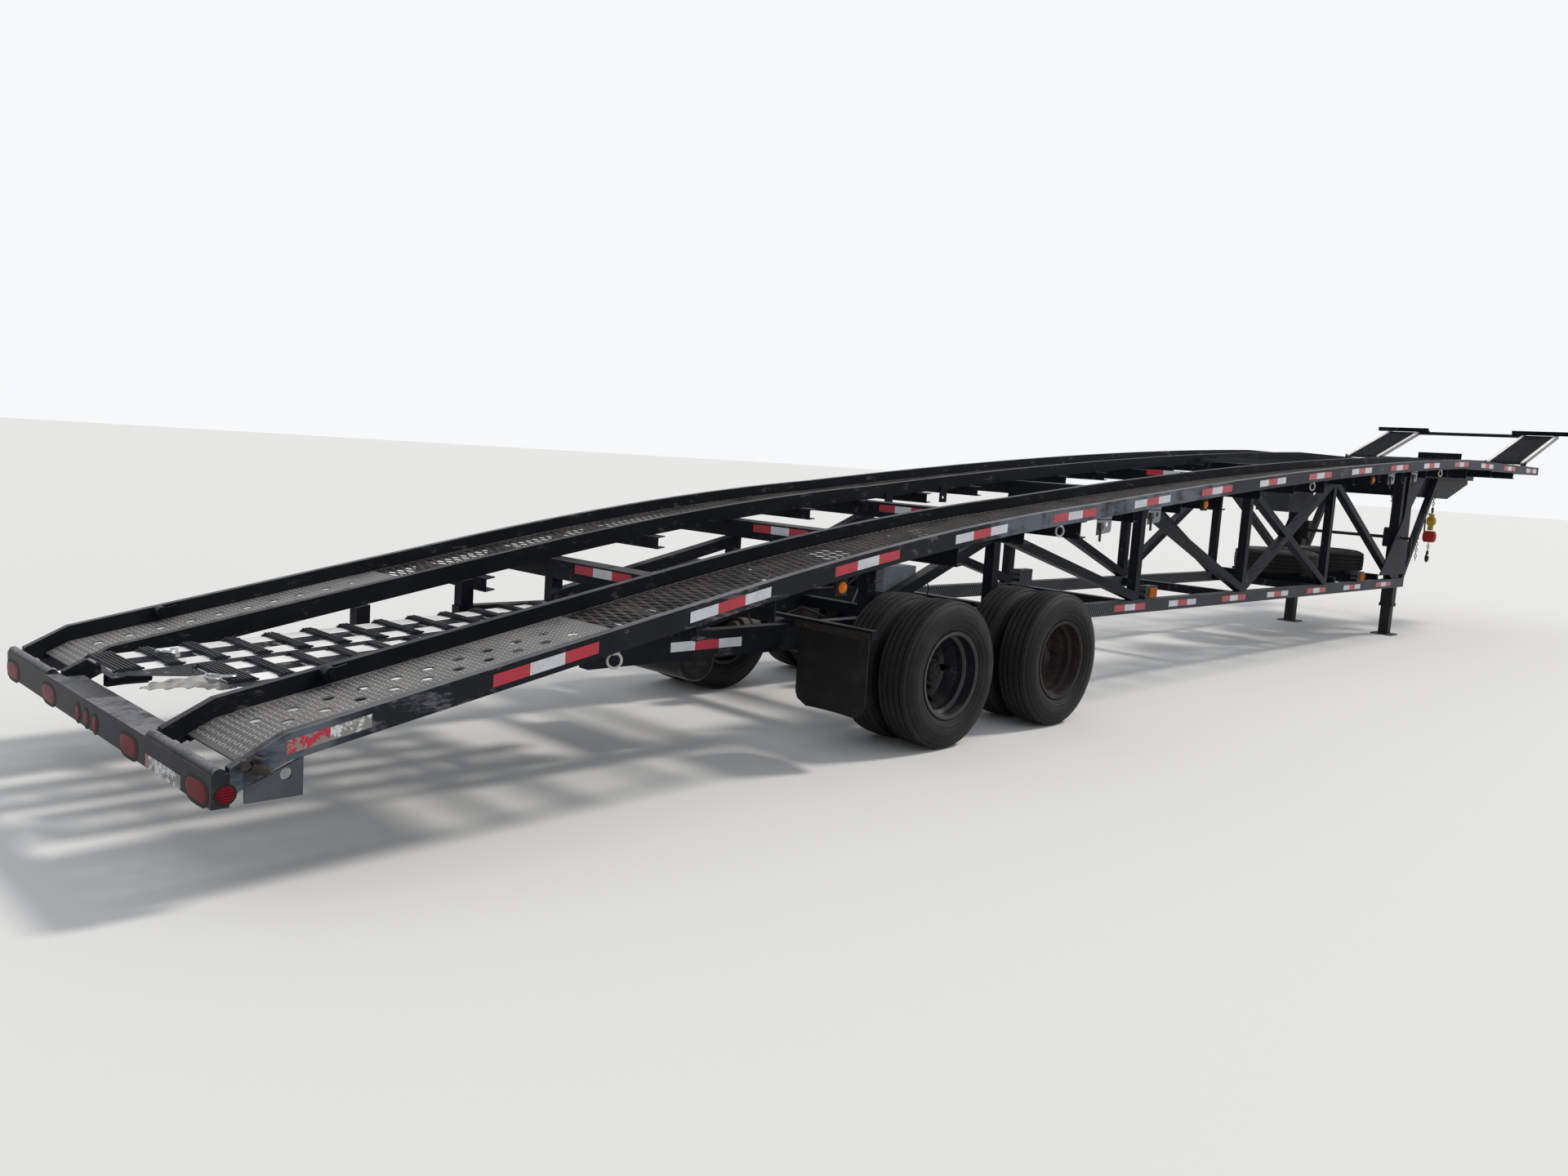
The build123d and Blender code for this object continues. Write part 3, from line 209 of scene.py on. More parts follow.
# Painted and bare steel: paint, worn tone, how dusty on top, how rusty, roughness, metal, size of the patches;
# bareAndSheenSpans are stretches of (first, last station) rubbed bluish grey on the outer rail sides, partly wear
# and partly a painted sheen of the lit rail faces; ribs the height of slanting stripes on the sides, which are also
# painted lighter as painted light falling through the deck mesh; bareTopAndSheen how far upward faces are painted
# lighter, partly rubbed wear and partly a painted sheen of the lit tops, and topTone to what; paintedSideShade the
# painted shade of the sides against the top
def wornSteel(name, paint, worn, dust, rust, rough, metal=0.0, grain=1.0, coat=0.0, bareAndSheenSpans=(), ribs=0.0,
              bareTopAndSheen=0.0, topTone=None, paintedSideShade=None, specular=0.5):
    material, shader, place = startMaterial(name)
    paint, worn = rgb(*paint), rgb(*worn)
    patches = noise(place, 1.6 / grain, 5.0, 0.6)
    scuffs = noise(place, 22.0 / grain, 6.0, 0.65, (0.35, 1.0, 1.0))
    speckle = noise(place, 140.0, 3.0, 0.6)
    streaks = noise(place, 9.0, 4.0, 0.6, (1.0, 1.0, 0.12))
    up = facingUp(place).between(0.25, 0.95)
    x, y, z = axes(place)
    wornMask = (scuffs + patches * 0.5).between(0.84, 1.02)
    dustMask = (up * 0.93 + 0.07) * (patches * 0.6 + streaks * 0.5).between(0.38, 0.75) * dust
    rustMask = (scuffs * 0.7 + speckle * 0.45 + patches * 0.2).between(0.86 - rust * 0.3, 0.93 - rust * 0.25)
    colour = patches.between(0.3, 0.7).tint(paint, scaled(paint, 1.35))
    # Bluish grey stretches on the outer rail sides: partly rubbed wear, partly a painted sheen of the lit rail
    # faces.
    for first, last in bareAndSheenSpans:
        station = x - rearEnd
        rubbedAndSheen = station.between(first, first + 0.2) * station.between(last + 0.3, last)
        rubbedAndSheen = rubbedAndSheen * abs(y).between(1.28, 1.29) * (streaks * 0.6 + scuffs * 0.7).between(0.42, 0.75)
        colour = rubbedAndSheen.tint(colour, spanColour)
    # Sides darker than the top: painted shade.
    if paintedSideShade:
        colour = facingUp(place).between(0.05, 0.45).tint(paintedSideShade, colour)
    colour = (wornMask * 0.8).tint(colour, worn)
    # Upward faces painted lighter: partly rubbed wear, partly a painted sheen of the lit tops.
    if bareTopAndSheen:
        colour = (up * (scuffs * 0.8 + patches * 0.6).between(0.45, 0.85) * bareTopAndSheen).tint(colour, topTone or worn)
    colour = dustMask.clamped().tint(colour, dustColour)
    colour = rustMask.tint(colour, speckle.between(0.35, 0.65).tint(oldRust, rustColour))
    roughness = rough + dustMask * 0.25 + rustMask * 0.35 + speckle * 0.12 - wornMask * 0.08
    height = speckle * 0.5 + scuffs * 0.5 + rustMask * 0.6
    # Slanting lighter stripes: painted light falling through the deck mesh above; the bump raises them as well.
    if ribs:
        rib = abs(((x + z * 0.6) * 34.0) % 1.0 - 0.5).between(0.10, 0.34)
        height = height + rib * ribs
        colour = (rib * 0.75).tint(colour, worn)
    shade(shader, colour=colour, rough=roughness.clamped(), normal=height.bumped(0.22, 0.002), specular=specular)
    if metal:
        shade(shader, metal=((1 - rustMask) * (1 - dustMask.clamped() * 0.7) * metal).clamped())
    if coat:
        shade(shader, coat=coat, coatRough=0.25)
    return material


# Each finish: paint, worn tone, dust, rust, roughness, then what sets it apart
steelLooks = {
    "frame_black": ((0.0062, 0.0076, 0.0105), (0.075, 0.085, 0.105), 0.28, 0.20, 0.36,
                    {"bareTopAndSheen": 0.35, "specular": 0.05}),
    # outer rails: bluish grey stretches and lighter tops, partly wear and partly painted sheen
    "rail_black": ((0.0066, 0.0082, 0.0115), (0.135, 0.150, 0.180), 0.25, 0.22, 0.34,
                   {"bareAndSheenSpans": ((-0.4, 0.33), (4.3, 7.3)), "bareTopAndSheen": 0.6, "specular": 0.09}),
    # lower rails: slanting stripes of painted light falling through the deck mesh
    "black_painted_light_stripes": ((0.0062, 0.0072, 0.0095), (0.085, 0.092, 0.105), 0.25, 0.15, 0.4,
                     {"ribs": 5.0, "bareTopAndSheen": 0.35, "specular": 0.06}),
    "tread_plate": ((0.100, 0.099, 0.101), (0.24, 0.24, 0.25), 0.55, 0.12, 0.42, {"metal": 0.55, "grain": 0.6}),
    "bumper_steel": ((0.013, 0.016, 0.021), (0.10, 0.105, 0.115), 0.35, 0.42, 0.40,
                     {"grain": 0.35, "bareTopAndSheen": 0.85, "topTone": rgb(0.24, 0.25, 0.28), "specular": 0.10}),
    "axle_iron": ((0.016, 0.015, 0.014), (0.05, 0.045, 0.04), 0.5, 0.40, 0.62, {"specular": 0.12}),
    "spring_steel": ((0.018, 0.015, 0.013), (0.07, 0.05, 0.035), 0.5, 0.55, 0.6, {"specular": 0.12}),
    "leg_paint": ((0.013, 0.014, 0.016), (0.09, 0.09, 0.095), 0.5, 0.34, 0.5, {"specular": 0.12}),
    "pin_steel": ((0.25, 0.25, 0.26), (0.45, 0.45, 0.46), 0.1, 0.2, 0.32, {"metal": 0.9, "grain": 0.2}),
    "rim_black": ((0.010, 0.010, 0.013), (0.07, 0.07, 0.08), 0.3, 0.2, 0.28,
                  {"grain": 0.3, "coat": 0.3, "specular": 0.2}),
    "rim_rust": ((0.017, 0.015, 0.015), (0.080, 0.058, 0.048), 0.4, 0.46, 0.5, {"grain": 0.3, "specular": 0.12}),
    "hub_iron": ((0.015, 0.014, 0.014), (0.06, 0.056, 0.052), 0.3, 0.35, 0.5, {"grain": 0.3, "specular": 0.12}),
    "box_grey": ((0.150, 0.165, 0.195), (0.30, 0.31, 0.33), 0.4, 0.10, 0.5, {"grain": 0.5, "specular": 0.15}),
    "tank_black": ((0.012, 0.012, 0.014), (0.07, 0.07, 0.07), 0.4, 0.15, 0.35, {"specular": 0.12}),
    "hoist_red": ((0.26, 0.018, 0.012), (0.12, 0.05, 0.04), 0.3, 0.3, 0.45, {"grain": 0.25, "specular": 0.12}),
    # ramp rails: sides in painted shade, darker than the tops
    "ramp_aluminium": ((0.70, 0.70, 0.68), (0.84, 0.84, 0.83), 0.12, 0.0, 0.34,
                       {"metal": 0.35, "grain": 0.4, "paintedSideShade": rgb(0.10, 0.105, 0.115)}),
    "galvanised": ((0.115, 0.128, 0.150), (0.30, 0.32, 0.35), 0.3, 0.30, 0.45, {"metal": 0.25, "grain": 0.25}),
    "expanded_mesh": ((0.016, 0.016, 0.017), (0.16, 0.152, 0.145), 0.35, 0.42, 0.4,
                      {"grain": 0.5, "bareTopAndSheen": 0.5, "specular": 0.1}),
    "lug_steel": ((0.30, 0.30, 0.30), (0.60, 0.60, 0.60), 0.25, 0.0, 0.30, {"metal": 0.7, "grain": 0.3}),
    "dark_rung": ((0.010, 0.012, 0.017), (0.060, 0.064, 0.075), 0.25, 0.05, 0.45, {"grain": 0.3, "specular": 0.10}),
    "chrome": ((0.26, 0.27, 0.29), (0.50, 0.50, 0.52), 0.1, 0.2, 0.3, {"metal": 0.95, "grain": 0.1}),
    "rusty_part": ((0.040, 0.034, 0.031), (0.16, 0.130, 0.11), 0.2, 0.22, 0.5, {"grain": 0.1, "specular": 0.15}),
    "hoist_yellow": ((0.42, 0.27, 0.035), (0.16, 0.10, 0.05), 0.3, 0.55, 0.5, {"grain": 0.2, "specular": 0.12}),
    "bright_ring": ((0.33, 0.32, 0.30), (0.60, 0.60, 0.57), 0.2, 0.25, 0.4, {"metal": 0.3, "grain": 0.15}),
    "corner_steel": ((0.050, 0.057, 0.068), (0.130, 0.138, 0.150), 0.2, 0.35, 0.45,
                     {"grain": 0.25, "specular": 0.15}),
    "tool_grey": ((0.034, 0.036, 0.040), (0.10, 0.105, 0.11), 0.3, 0.15, 0.5, {"specular": 0.12}),
    "cable_black": ((0.010, 0.010, 0.011), (0.05, 0.05, 0.05), 0.4, 0.0, 0.5, {"specular": 0.12}),
}


def tapeMaterial(name, bright, otherTone):
    material, shader, place = startMaterial(name)
    along = axes(place)[0] - rearEnd
    cells = place.node("TexVoronoi", {"feature": "DISTANCE_TO_EDGE"}, {"Vector": place, "Scale": 230.0})
    patches = noise(place, 11.0, 5.0, 0.6)
    chips = noise(place, 46.0, 5.0, 0.7)
    bare = (chips + patches * 0.6 + along.between(1.1, 0.55) * 0.30).between(1.06, 1.10)    # oldest at the back
    dirt = (patches + chips * 0.5).between(0.62, 1.0) * 0.5
    colour = (cells.between(0.0, 0.16) * 0.35 + 0.65).tint(scaled(bright, 0.45), dirt.tint(bright, otherTone))
    colour = bare.tint(colour, rgb(0.20, 0.19, 0.17))
    shade(shader, colour=colour, rough=0.28 + dirt * 0.4 + bare * 0.4,
          normal=(cells.between(0.0, 0.2) + (1 - bare)).bumped(0.3, 0.0006))
    return material


def lensMaterial(name, deep, bright):
    material, shader, place = startMaterial(name)
    waves = [(axis * 620.0).math("SINE") for axis in axes(place)]
    prisms = waves[1] * waves[2] + waves[0] * waves[2]
    haze = noise(place, 60.0, 4.0, 0.6)
    # Pinkish cast in patches, more on the left: a painted reflection of the sun on the lenses.
    otherTone = haze.between(0.40, 0.75) * (axes(place)[1].between(-1.0, 0.9) * 0.45 + 0.05)    # more on the left
    colour = otherTone.tint(prisms.between(-0.8, 0.9).tint(deep, bright), rgb(0.26, 0.13, 0.12))
    shade(shader, colour=colour, rough=0.30 + haze * 0.22, specular=0.08, normal=prisms.bumped(0.15, 0.0005))
    return material


# Tyre rubber round its centre has sipes, side wall rings and shoulder ribs; other rubber is plain
def rubberMaterial(name, centre=None):
    material, shader, place = startMaterial(name)
    dirt = noise(place, 7.0, 5.0, 0.6)
    grit = noise(place, 90.0, 4.0, 0.65)
    height = grit * 0.35
    colour = (dirt.between(0.42, 0.75) * 0.6).tint(rgb(0.0058, 0.0062, 0.0072), rgb(0.024, 0.024, 0.0235))
    if centre:
        x, y, z = axes(place)
        x, z = x - centre[0], z - centre[2]
        radius = (x * x + z * z).math("SQRT")
        angle = x.math("ARCTAN2", z)
        tread = radius.between(0.424, 0.428)
        zigzag = abs((y * 55.0) % 1.0 - 0.5) * 0.35
        sipes = ((angle * 27.0 + zigzag) % 1.0 < 0.055) * tread
        rings = (radius % 0.031 < 0.0022) * (1 - tread)
        ribs = ((angle * 64.0) % 1.0 < 0.3) * radius.between(0.395, 0.4) * (1 - tread)
        worn = tread * (1 - sipes) * grit.between(0.3, 0.7)
        colour = (worn * 0.55).tint(colour, rgb(0.042, 0.041, 0.040))
        colour = (rings * 0.5).tint(colour, rgb(0.045, 0.045, 0.046))
        # Sipes painted near black: painted shade in the slits.
        colour = (sipes * 0.9).tint(colour, rgb(0.002, 0.002, 0.002))
        height = height - sipes * 2.2 + rings * 0.7 + ribs * 0.4
    shade(shader, colour=colour, rough=0.52 + dirt * 0.25, normal=height.bumped(0.5, 0.003), specular=0.20)
    return material


def strapMaterial(name):
    material, shader, place = startMaterial(name)
    x, y = axes(place)[:2]
    weave = (x * 900.0).math("SINE") * (y * 900.0).math("SINE")
    dirt = noise(place, 14.0, 5.0, 0.6)
    colour = dirt.between(0.35, 0.75).tint(rgb(0.42, 0.41, 0.38), rgb(0.17, 0.16, 0.145))
    shade(shader, colour=colour, rough=0.85, normal=weave.bumped(0.3, 0.0008))
    return material


looks = {name: wornSteel(name, *look[:5], **look[5]) for name, look in steelLooks.items()}
looks["tape_red"] = tapeMaterial("tape_red", rgb(0.42, 0.009, 0.030), rgb(0.24, 0.030, 0.034))
looks["tape_white"] = tapeMaterial("tape_white", rgb(0.56, 0.59, 0.63), rgb(0.36, 0.36, 0.35))
looks["lamp_red"] = lensMaterial("lamp_red", rgb(0.050, 0.0012, 0.0040), rgb(0.19, 0.0035, 0.0110))
looks["lamp_amber"] = lensMaterial("lamp_amber", rgb(0.34, 0.07, 0.005), rgb(0.70, 0.19, 0.014))
looks["flap_rubber"] = rubberMaterial("flap_rubber")
looks["strap_cloth"] = strapMaterial("strap_cloth")
print("materials made")


# CAD nodes take the finish of their slot, but for these
nodeLooks = {"outer_rails": "rail_black", "lower_rails": "black_painted_light_stripes", "tool_box": "tool_grey"}
for part in frame["record"]["subparts"]:
    slotLook = "flap_rubber" if part["material_slot"] == "tyre" else part["material_slot"]
    materials = frame["nodes"][part["node"]].data.materials
    materials.clear()
    materials.append(looks[nodeLooks.get(part["node"], slotLook)])


# Plain pale floor, soft sky and one soft sun
lights = {
    "skyStrength": 0.72, "skyColour": (0.90, 0.94, 1.0, 1), "backdropColour": (0.93, 0.94, 0.95, 1),
    "sunStrength": 2.3, "sunColour": (1.0, 0.95, 0.88), "sunSpread": 9.0, "sunFrom": (0.68, -0.22, 0.70),
    "floorColour": (0.66, 0.655, 0.64, 1), "floorHalf": 160.0,
}


def makeStage():
    world = bpy.data.worlds.new("softStudio")
    bpy.context.scene.world = world
    world.use_nodes = True
    wire = Wire(world.node_tree)
    rays = [wire.node("LightPath", out=k) for k in ("Is Camera Ray", "Is Glossy Ray", "Is Transmission Ray")]
    seen = (rays[0] + rays[1] + rays[2]).clamped()
    background = world.node_tree.nodes["Background"]
    feed(background.inputs["Color"], seen.tint(lights["skyColour"], lights["backdropColour"]))
    feed(background.inputs["Strength"], lights["skyStrength"] + seen * (1 - lights["skyStrength"]))
    lamp = addObject("softSun", bpy.data.lights.new("softSun", "SUN"))
    lamp.data.energy = lights["sunStrength"]
    lamp.data.color = lights["sunColour"]
    lamp.data.angle = math.radians(lights["sunSpread"])
    lamp.rotation_euler = Vector(lights["sunFrom"]).to_track_quat("Z", "Y").to_euler()
    bm = bmesh.new()
    bmesh.ops.create_grid(bm, x_segments=1, y_segments=1, size=lights["floorHalf"])
    mesh = bpy.data.meshes.new("floor")
    bm.to_mesh(mesh)
    bm.free()
    floor = addObject("floor", mesh)
    material, shader, place = startMaterial("paleFloor")
    shade(shader, colour=lights["floorColour"], rough=0.9)
    mesh.materials.append(material)


makeStage()
print("floor and lights made")


# Mesh helpers
def newMeshes(count):
    return [bmesh.new() for k in range(count)]


def addedSince(bm, before):
    return [v for v in bm.verts if v not in before]


def closeUp(bm):
    bmesh.ops.remove_doubles(bm, verts=bm.verts, dist=1e-6)
    bmesh.ops.recalc_face_normals(bm, faces=bm.faces)


def addPiece(name, look, bm, replaced=(), smooth=35, body="trailer", close=False):
    if close:
        closeUp(bm)
    mesh = bpy.data.meshes.new(name)
    bm.to_mesh(mesh)
    bm.free()
    mesh.materials.append(looks[look])
    mesh.polygons.foreach_set("use_smooth", [True] * len(mesh.polygons))
    mesh.set_sharp_from_angle(angle=math.radians(smooth))
    piece = addObject(name, mesh)
    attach(piece, body)
    if replaced:
        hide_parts(*replaced)


def addBlock(bm, low, high):
    low, high = Vector(low), Vector(high)
    made = bmesh.ops.create_cube(bm, size=1.0)["verts"]
    bmesh.ops.scale(bm, vec=high - low, verts=made)
    bmesh.ops.translate(bm, vec=(low + high) / 2, verts=made)
    return made


def addRod(bm, start, end, radius, facets=10, capped=True):
    start, end = Vector(start), Vector(end)
    turn = (end - start).to_track_quat("Z", "Y").to_matrix().to_4x4()
    bmesh.ops.create_cone(bm, cap_ends=capped, segments=facets, radius1=radius, radius2=radius,
                          depth=(end - start).length, matrix=Matrix.Translation((start + end) / 2) @ turn)


# A rod through a few points, with a round end at each bend
def addBent(bm, points, radius, facets=8):
    for a, b in zip(points, points[1:]):
        addRod(bm, a, b, radius, facets)
    for p in points[1:-1]:
        made = bmesh.ops.create_icosphere(bm, subdivisions=1, radius=radius * 1.02)["verts"]
        bmesh.ops.translate(bm, vec=p, verts=made)


# A closed outline turned about an axle; each point is (along the axle, radius)
def addSpun(bm, outline, centre, axis, steps):
    axis, centre = Vector(axis), Vector(centre)
    side = Vector((0, 0, 1)) if abs(axis.z) < 0.5 else Vector((1, 0, 0))
    verts = [bm.verts.new(centre + axis * along + side * radius) for along, radius in outline]
    edges = [bm.edges.new(pair) for pair in zip(verts, verts[1:] + verts[:1])]
    bmesh.ops.spin(bm, geom=verts + edges, cent=centre, axis=axis, angle=math.tau, steps=steps, use_merge=True)


# A ring of round wire, or a chain link where it is stretched along a direction
def addRing(bm, centre, axis, radius, wire, stretch=0.0, along=(0, 0, 1), steps=16, facets=6):
    centre, axis, along = Vector(centre), Vector(axis).normalized(), Vector(along).normalized()
    before = set(bm.verts)
    turns = [math.tau * k / facets for k in range(facets)]
    addSpun(bm, [(wire * math.sin(a), radius + wire * math.cos(a)) for a in turns], centre, axis, steps)
    for v in addedSince(bm, before):
        reach = (v.co - centre).dot(along)
        if abs(reach) > 1e-6:
            v.co += along * math.copysign(stretch, reach)


def roundEdges(bm, width, segments=1):
    bmesh.ops.bevel(bm, geom=bm.edges, offset=width, segments=segments, profile=0.5, affect="EDGES",
                    material=-1, offset_type="OFFSET", clamp_overlap=True)


# A group of shapes built about the origin, then put in its place
def addPlaced(bm, place, build):
    before = set(bm.verts)
    build()
    bmesh.ops.transform(bm, matrix=place, verts=addedSince(bm, before))


# An upright plate at y with round holes; its corners are (station, z), its holes (station, z, radius)
def addPlate(bm, y, corners, holes, thick, steps=16):
    def build():
        edges = []
        circles = [[around(radius, math.tau * k / steps, x, z) for k in range(steps)] for x, z, radius in holes]
        for loop in [corners, *circles]:
            verts = [bm.verts.new((x, -thick / 2, z)) for x, z in loop]
            edges += [bm.edges.new(pair) for pair in zip(verts, verts[1:] + verts[:1])]
        faces = [f for f in bmesh.ops.triangle_fill(bm, use_beauty=True, edges=edges)["geom"]
                 if isinstance(f, bmesh.types.BMFace)]
        made = bmesh.ops.extrude_face_region(bm, geom=faces)["geom"]
        bmesh.ops.translate(bm, vec=(0, thick, 0), verts=[g for g in made if isinstance(g, bmesh.types.BMVert)])

    addPlaced(bm, Matrix.Translation((rearEnd, y, 0)), build)


# A sheet through rows of points, without thickness yet
def addSheet(bm, rows):
    rows = [[bm.verts.new(p) for p in row] for row in rows]
    for a, b in zip(rows, rows[1:]):
        for j in range(len(a) - 1):
            bm.faces.new((a[j], a[j + 1], b[j + 1], b[j]))


# All sheets of a mesh given their thickness
def thicken(bm, thick):
    bmesh.ops.recalc_face_normals(bm, faces=bm.faces)
    bmesh.ops.solidify(bm, geom=bm.faces[:], thickness=thick)


# The deck curve, read from the flat tops of the outer rails
def readRailTops(railWidth=0.0452):
    mesh = frame["nodes"]["outer_rails"].data
    tops = {}
    for face in mesh.polygons:
        corners = [mesh.vertices[k].co for k in face.vertices]
        if face.normal.z > 0.8 and all(abs(c.y) > halfWidth - railWidth for c in corners):
            tops.update({round(c.x - rearEnd, 4): c.z for c in corners})
    return sorted(tops.items())


railTops = readRailTops()
railStations = [s for s, z in railTops]
railHeight = 0.100


def railTop(station):
    k = min(max(bisect.bisect_left(railStations, station), 1), len(railTops) - 1)
    (s0, z0), (s1, z1) = railTops[k - 1], railTops[k]
    return z0 + (z1 - z0) * (station - s0) / (s1 - s0)


def railBottom(station):
    return railTop(station) - railHeight


def layOnDeck(verts, drop=0.0):
    for v in verts:
        v.co.z += railTop(v.co.x - rearEnd) - drop


# Runways: expanded metal, cut in a brick pattern whose courses are pulled into diamonds
runway = {
    "inner": 0.6455, "outer": 1.2505, "drop": 0.075, "plateStart": 0.15, "meshStart": 1.83, "meshEnd": 16.73,
}
expandedMetal = {
    "pitch": 0.0254, "columns": 8, "bond": 0.0105, "strand": 0.0080, "gauge": 0.0046, "lean": 0.62, "sink": 0.002,
    "endGap": 0.001,
}


def makeMeshDeck(name, side):
    look = expandedMetal
    pitch, columns = look["pitch"], look["columns"]
    courses = round((runway["meshEnd"] - runway["meshStart"]) / pitch)
    length, width = courses * pitch, runway["outer"] - runway["inner"]
    pull = (pitch - look["bond"]) / 2
    bm = bmesh.new()
    bmesh.ops.create_grid(bm, x_segments=courses, y_segments=columns, size=0.5)
    bmesh.ops.scale(bm, vec=(length, width, 1), verts=bm.verts)
    bmesh.ops.translate(bm, vec=(length / 2, width / 2, 0), verts=bm.verts)
    spots = {v: (round(v.co.x / pitch), round(v.co.y / width * columns)) for v in bm.verts}
    bonds = []
    for edge in bm.edges:
        (i, j), (k, m) = spots[edge.verts[0]], spots[edge.verts[1]]
        if j == m and (min(i, k) + j) % 2 and len(edge.link_faces) == 2:
            bonds.append(edge)
    for v, (i, j) in spots.items():
        v.co.x += pull if (i + j) % 2 == 0 else -pull
    bmesh.ops.dissolve_edges(bm, edges=bonds, use_verts=False)
    bmesh.ops.wireframe(bm, faces=bm.faces, thickness=look["strand"], use_replace=True, use_boundary=True,
                        use_even_offset=True)
    bmesh.ops.scale(bm, vec=(1, 1, look["gauge"] / look["strand"]), verts=bm.verts)
    for v in bm.verts:
        turn = (v.co.y / (width / columns)) % 2
        wave = pull * (1 - 2 * min(turn, 2 - turn))
        k = math.floor(v.co.x / pitch)
        off = min((v.co.x - i * pitch - (-wave if i % 2 else wave) for i in range(k - 1, k + 3)), key=abs)
        v.co.z += max(-look["strand"], min(look["strand"], off)) * look["lean"]
    y = runway["inner"] if side > 0 else -runway["outer"]
    bmesh.ops.translate(bm, vec=at(runway["meshStart"], y, 0), verts=bm.verts)
    for v in bm.verts:
        v.co.x = min(v.co.x, rearEnd + runway["meshEnd"] - look["endGap"])
    layOnDeck(bm.verts, runway["drop"] + look["sink"])
    addPiece(name, "expanded_mesh", bm, ["mesh_decks"], smooth=25)


makeMeshDeck("expandedMetalRight", -1)
makeMeshDeck("expandedMetalLeft", 1)
print("expanded metal made")


# Raised lugs of the tread plates, left out over the hand holes
treadLugs = {
    "pitch": 0.0262, "size": (0.0115, 0.0040, 0.0017), "taper": 0.5, "sink": 0.0002, "turn": 45, "edge": 0.014,
    "firstHole": 0.33, "holePitch": 0.142, "holes": 9, "column": 0.125, "holeClear": 0.031,
}


def makeTreadLugs():
    look = treadLugs
    bm = bmesh.new()
    middle = (runway["inner"] + runway["outer"]) / 2
    rows, columns = (int((reach - 2 * look["edge"]) / look["pitch"]) for reach in
                     (runway["meshStart"] - runway["plateStart"], runway["outer"] - runway["inner"]))
    holes = [(look["firstHole"] + (k + stagger) * look["holePitch"], middle + offset)
             for offset, stagger in ((-look["column"], 0), (0, 0.5), (look["column"], 0))
             for k in range(look["holes"])]
    lug = bmesh.ops.create_cone(bm, cap_ends=True, segments=6, radius1=1, radius2=look["taper"], depth=1)["verts"]
    bmesh.ops.scale(bm, vec=look["size"], verts=lug)
    bmesh.ops.translate(bm, vec=(0, 0, look["size"][2] / 2 - look["sink"]), verts=lug)
    first = list(bm.faces)
    lean = [Matrix.Rotation(way * math.radians(look["turn"]), 3, "Z") for way in (-1, 1)]
    for row in range(rows):
        for column in range(columns):
            station = runway["plateStart"] + look["edge"] + (row + 0.5) * look["pitch"]
            y = runway["inner"] + look["edge"] + (column + 0.5) * look["pitch"]
            if any(math.hypot(station - s, y - w) < look["holeClear"] for s, w in holes):
                continue
            made = bmesh.ops.duplicate(bm, geom=lug + first)["geom"]
            verts = [g for g in made if isinstance(g, bmesh.types.BMVert)]
            bmesh.ops.rotate(bm, cent=(0, 0, 0), matrix=lean[(row + column) % 2], verts=verts)
            bmesh.ops.translate(bm, vec=at(station, y, 0), verts=verts)
    bmesh.ops.delete(bm, geom=lug, context="VERTS")
    made = bmesh.ops.duplicate(bm, geom=bm.verts[:] + bm.edges[:] + bm.faces[:])["geom"]
    verts = [g for g in made if isinstance(g, bmesh.types.BMVert)]
    bmesh.ops.translate(bm, vec=(0, -2 * middle, 0), verts=verts)
    layOnDeck(bm.verts, runway["drop"])
    addPiece("treadLugs", "lug_steel", bm, smooth=20)


makeTreadLugs()
print("tread plate lugs made")


# Reflective tapes: three fields each, red first or white first; cross tapes are (station, left, right, height)
tapes = {
    "field": 0.169, "fields": 3, "gap": 0.001, "height": 0.051, "proud": 0.0006, "railMiddle": 0.050,
    "railStarts": (1.06, 2.07, 3.03, 4.03, 5.04, 6.05, 7.05, 8.06, 9.06, 10.06, 11.10, 12.10, 13.15, 14.16, 15.15,
                   16.20),
    "damaged": (("red", 0.25, 0.405), ("white", 0.405, 0.56)), "damagedHeight": 0.050,
    "chordStarts": (7.10, 8.02, 9.05, 10.05, 11.05, 12.08, 13.10), "chordMiddle": 0.052,
    "beamStart": 2.52, "beamMiddle": 0.075,
    "crossTapes": ((2.61, 0.345, -0.18, 0.93), (4.06, 0.38, -0.12, 1.17), (5.37, 0.40, -0.05, 1.32),
                   (7.41, 0.41, -0.02, 1.535), (9.44, 0.42, 0.07, 1.73)),
}


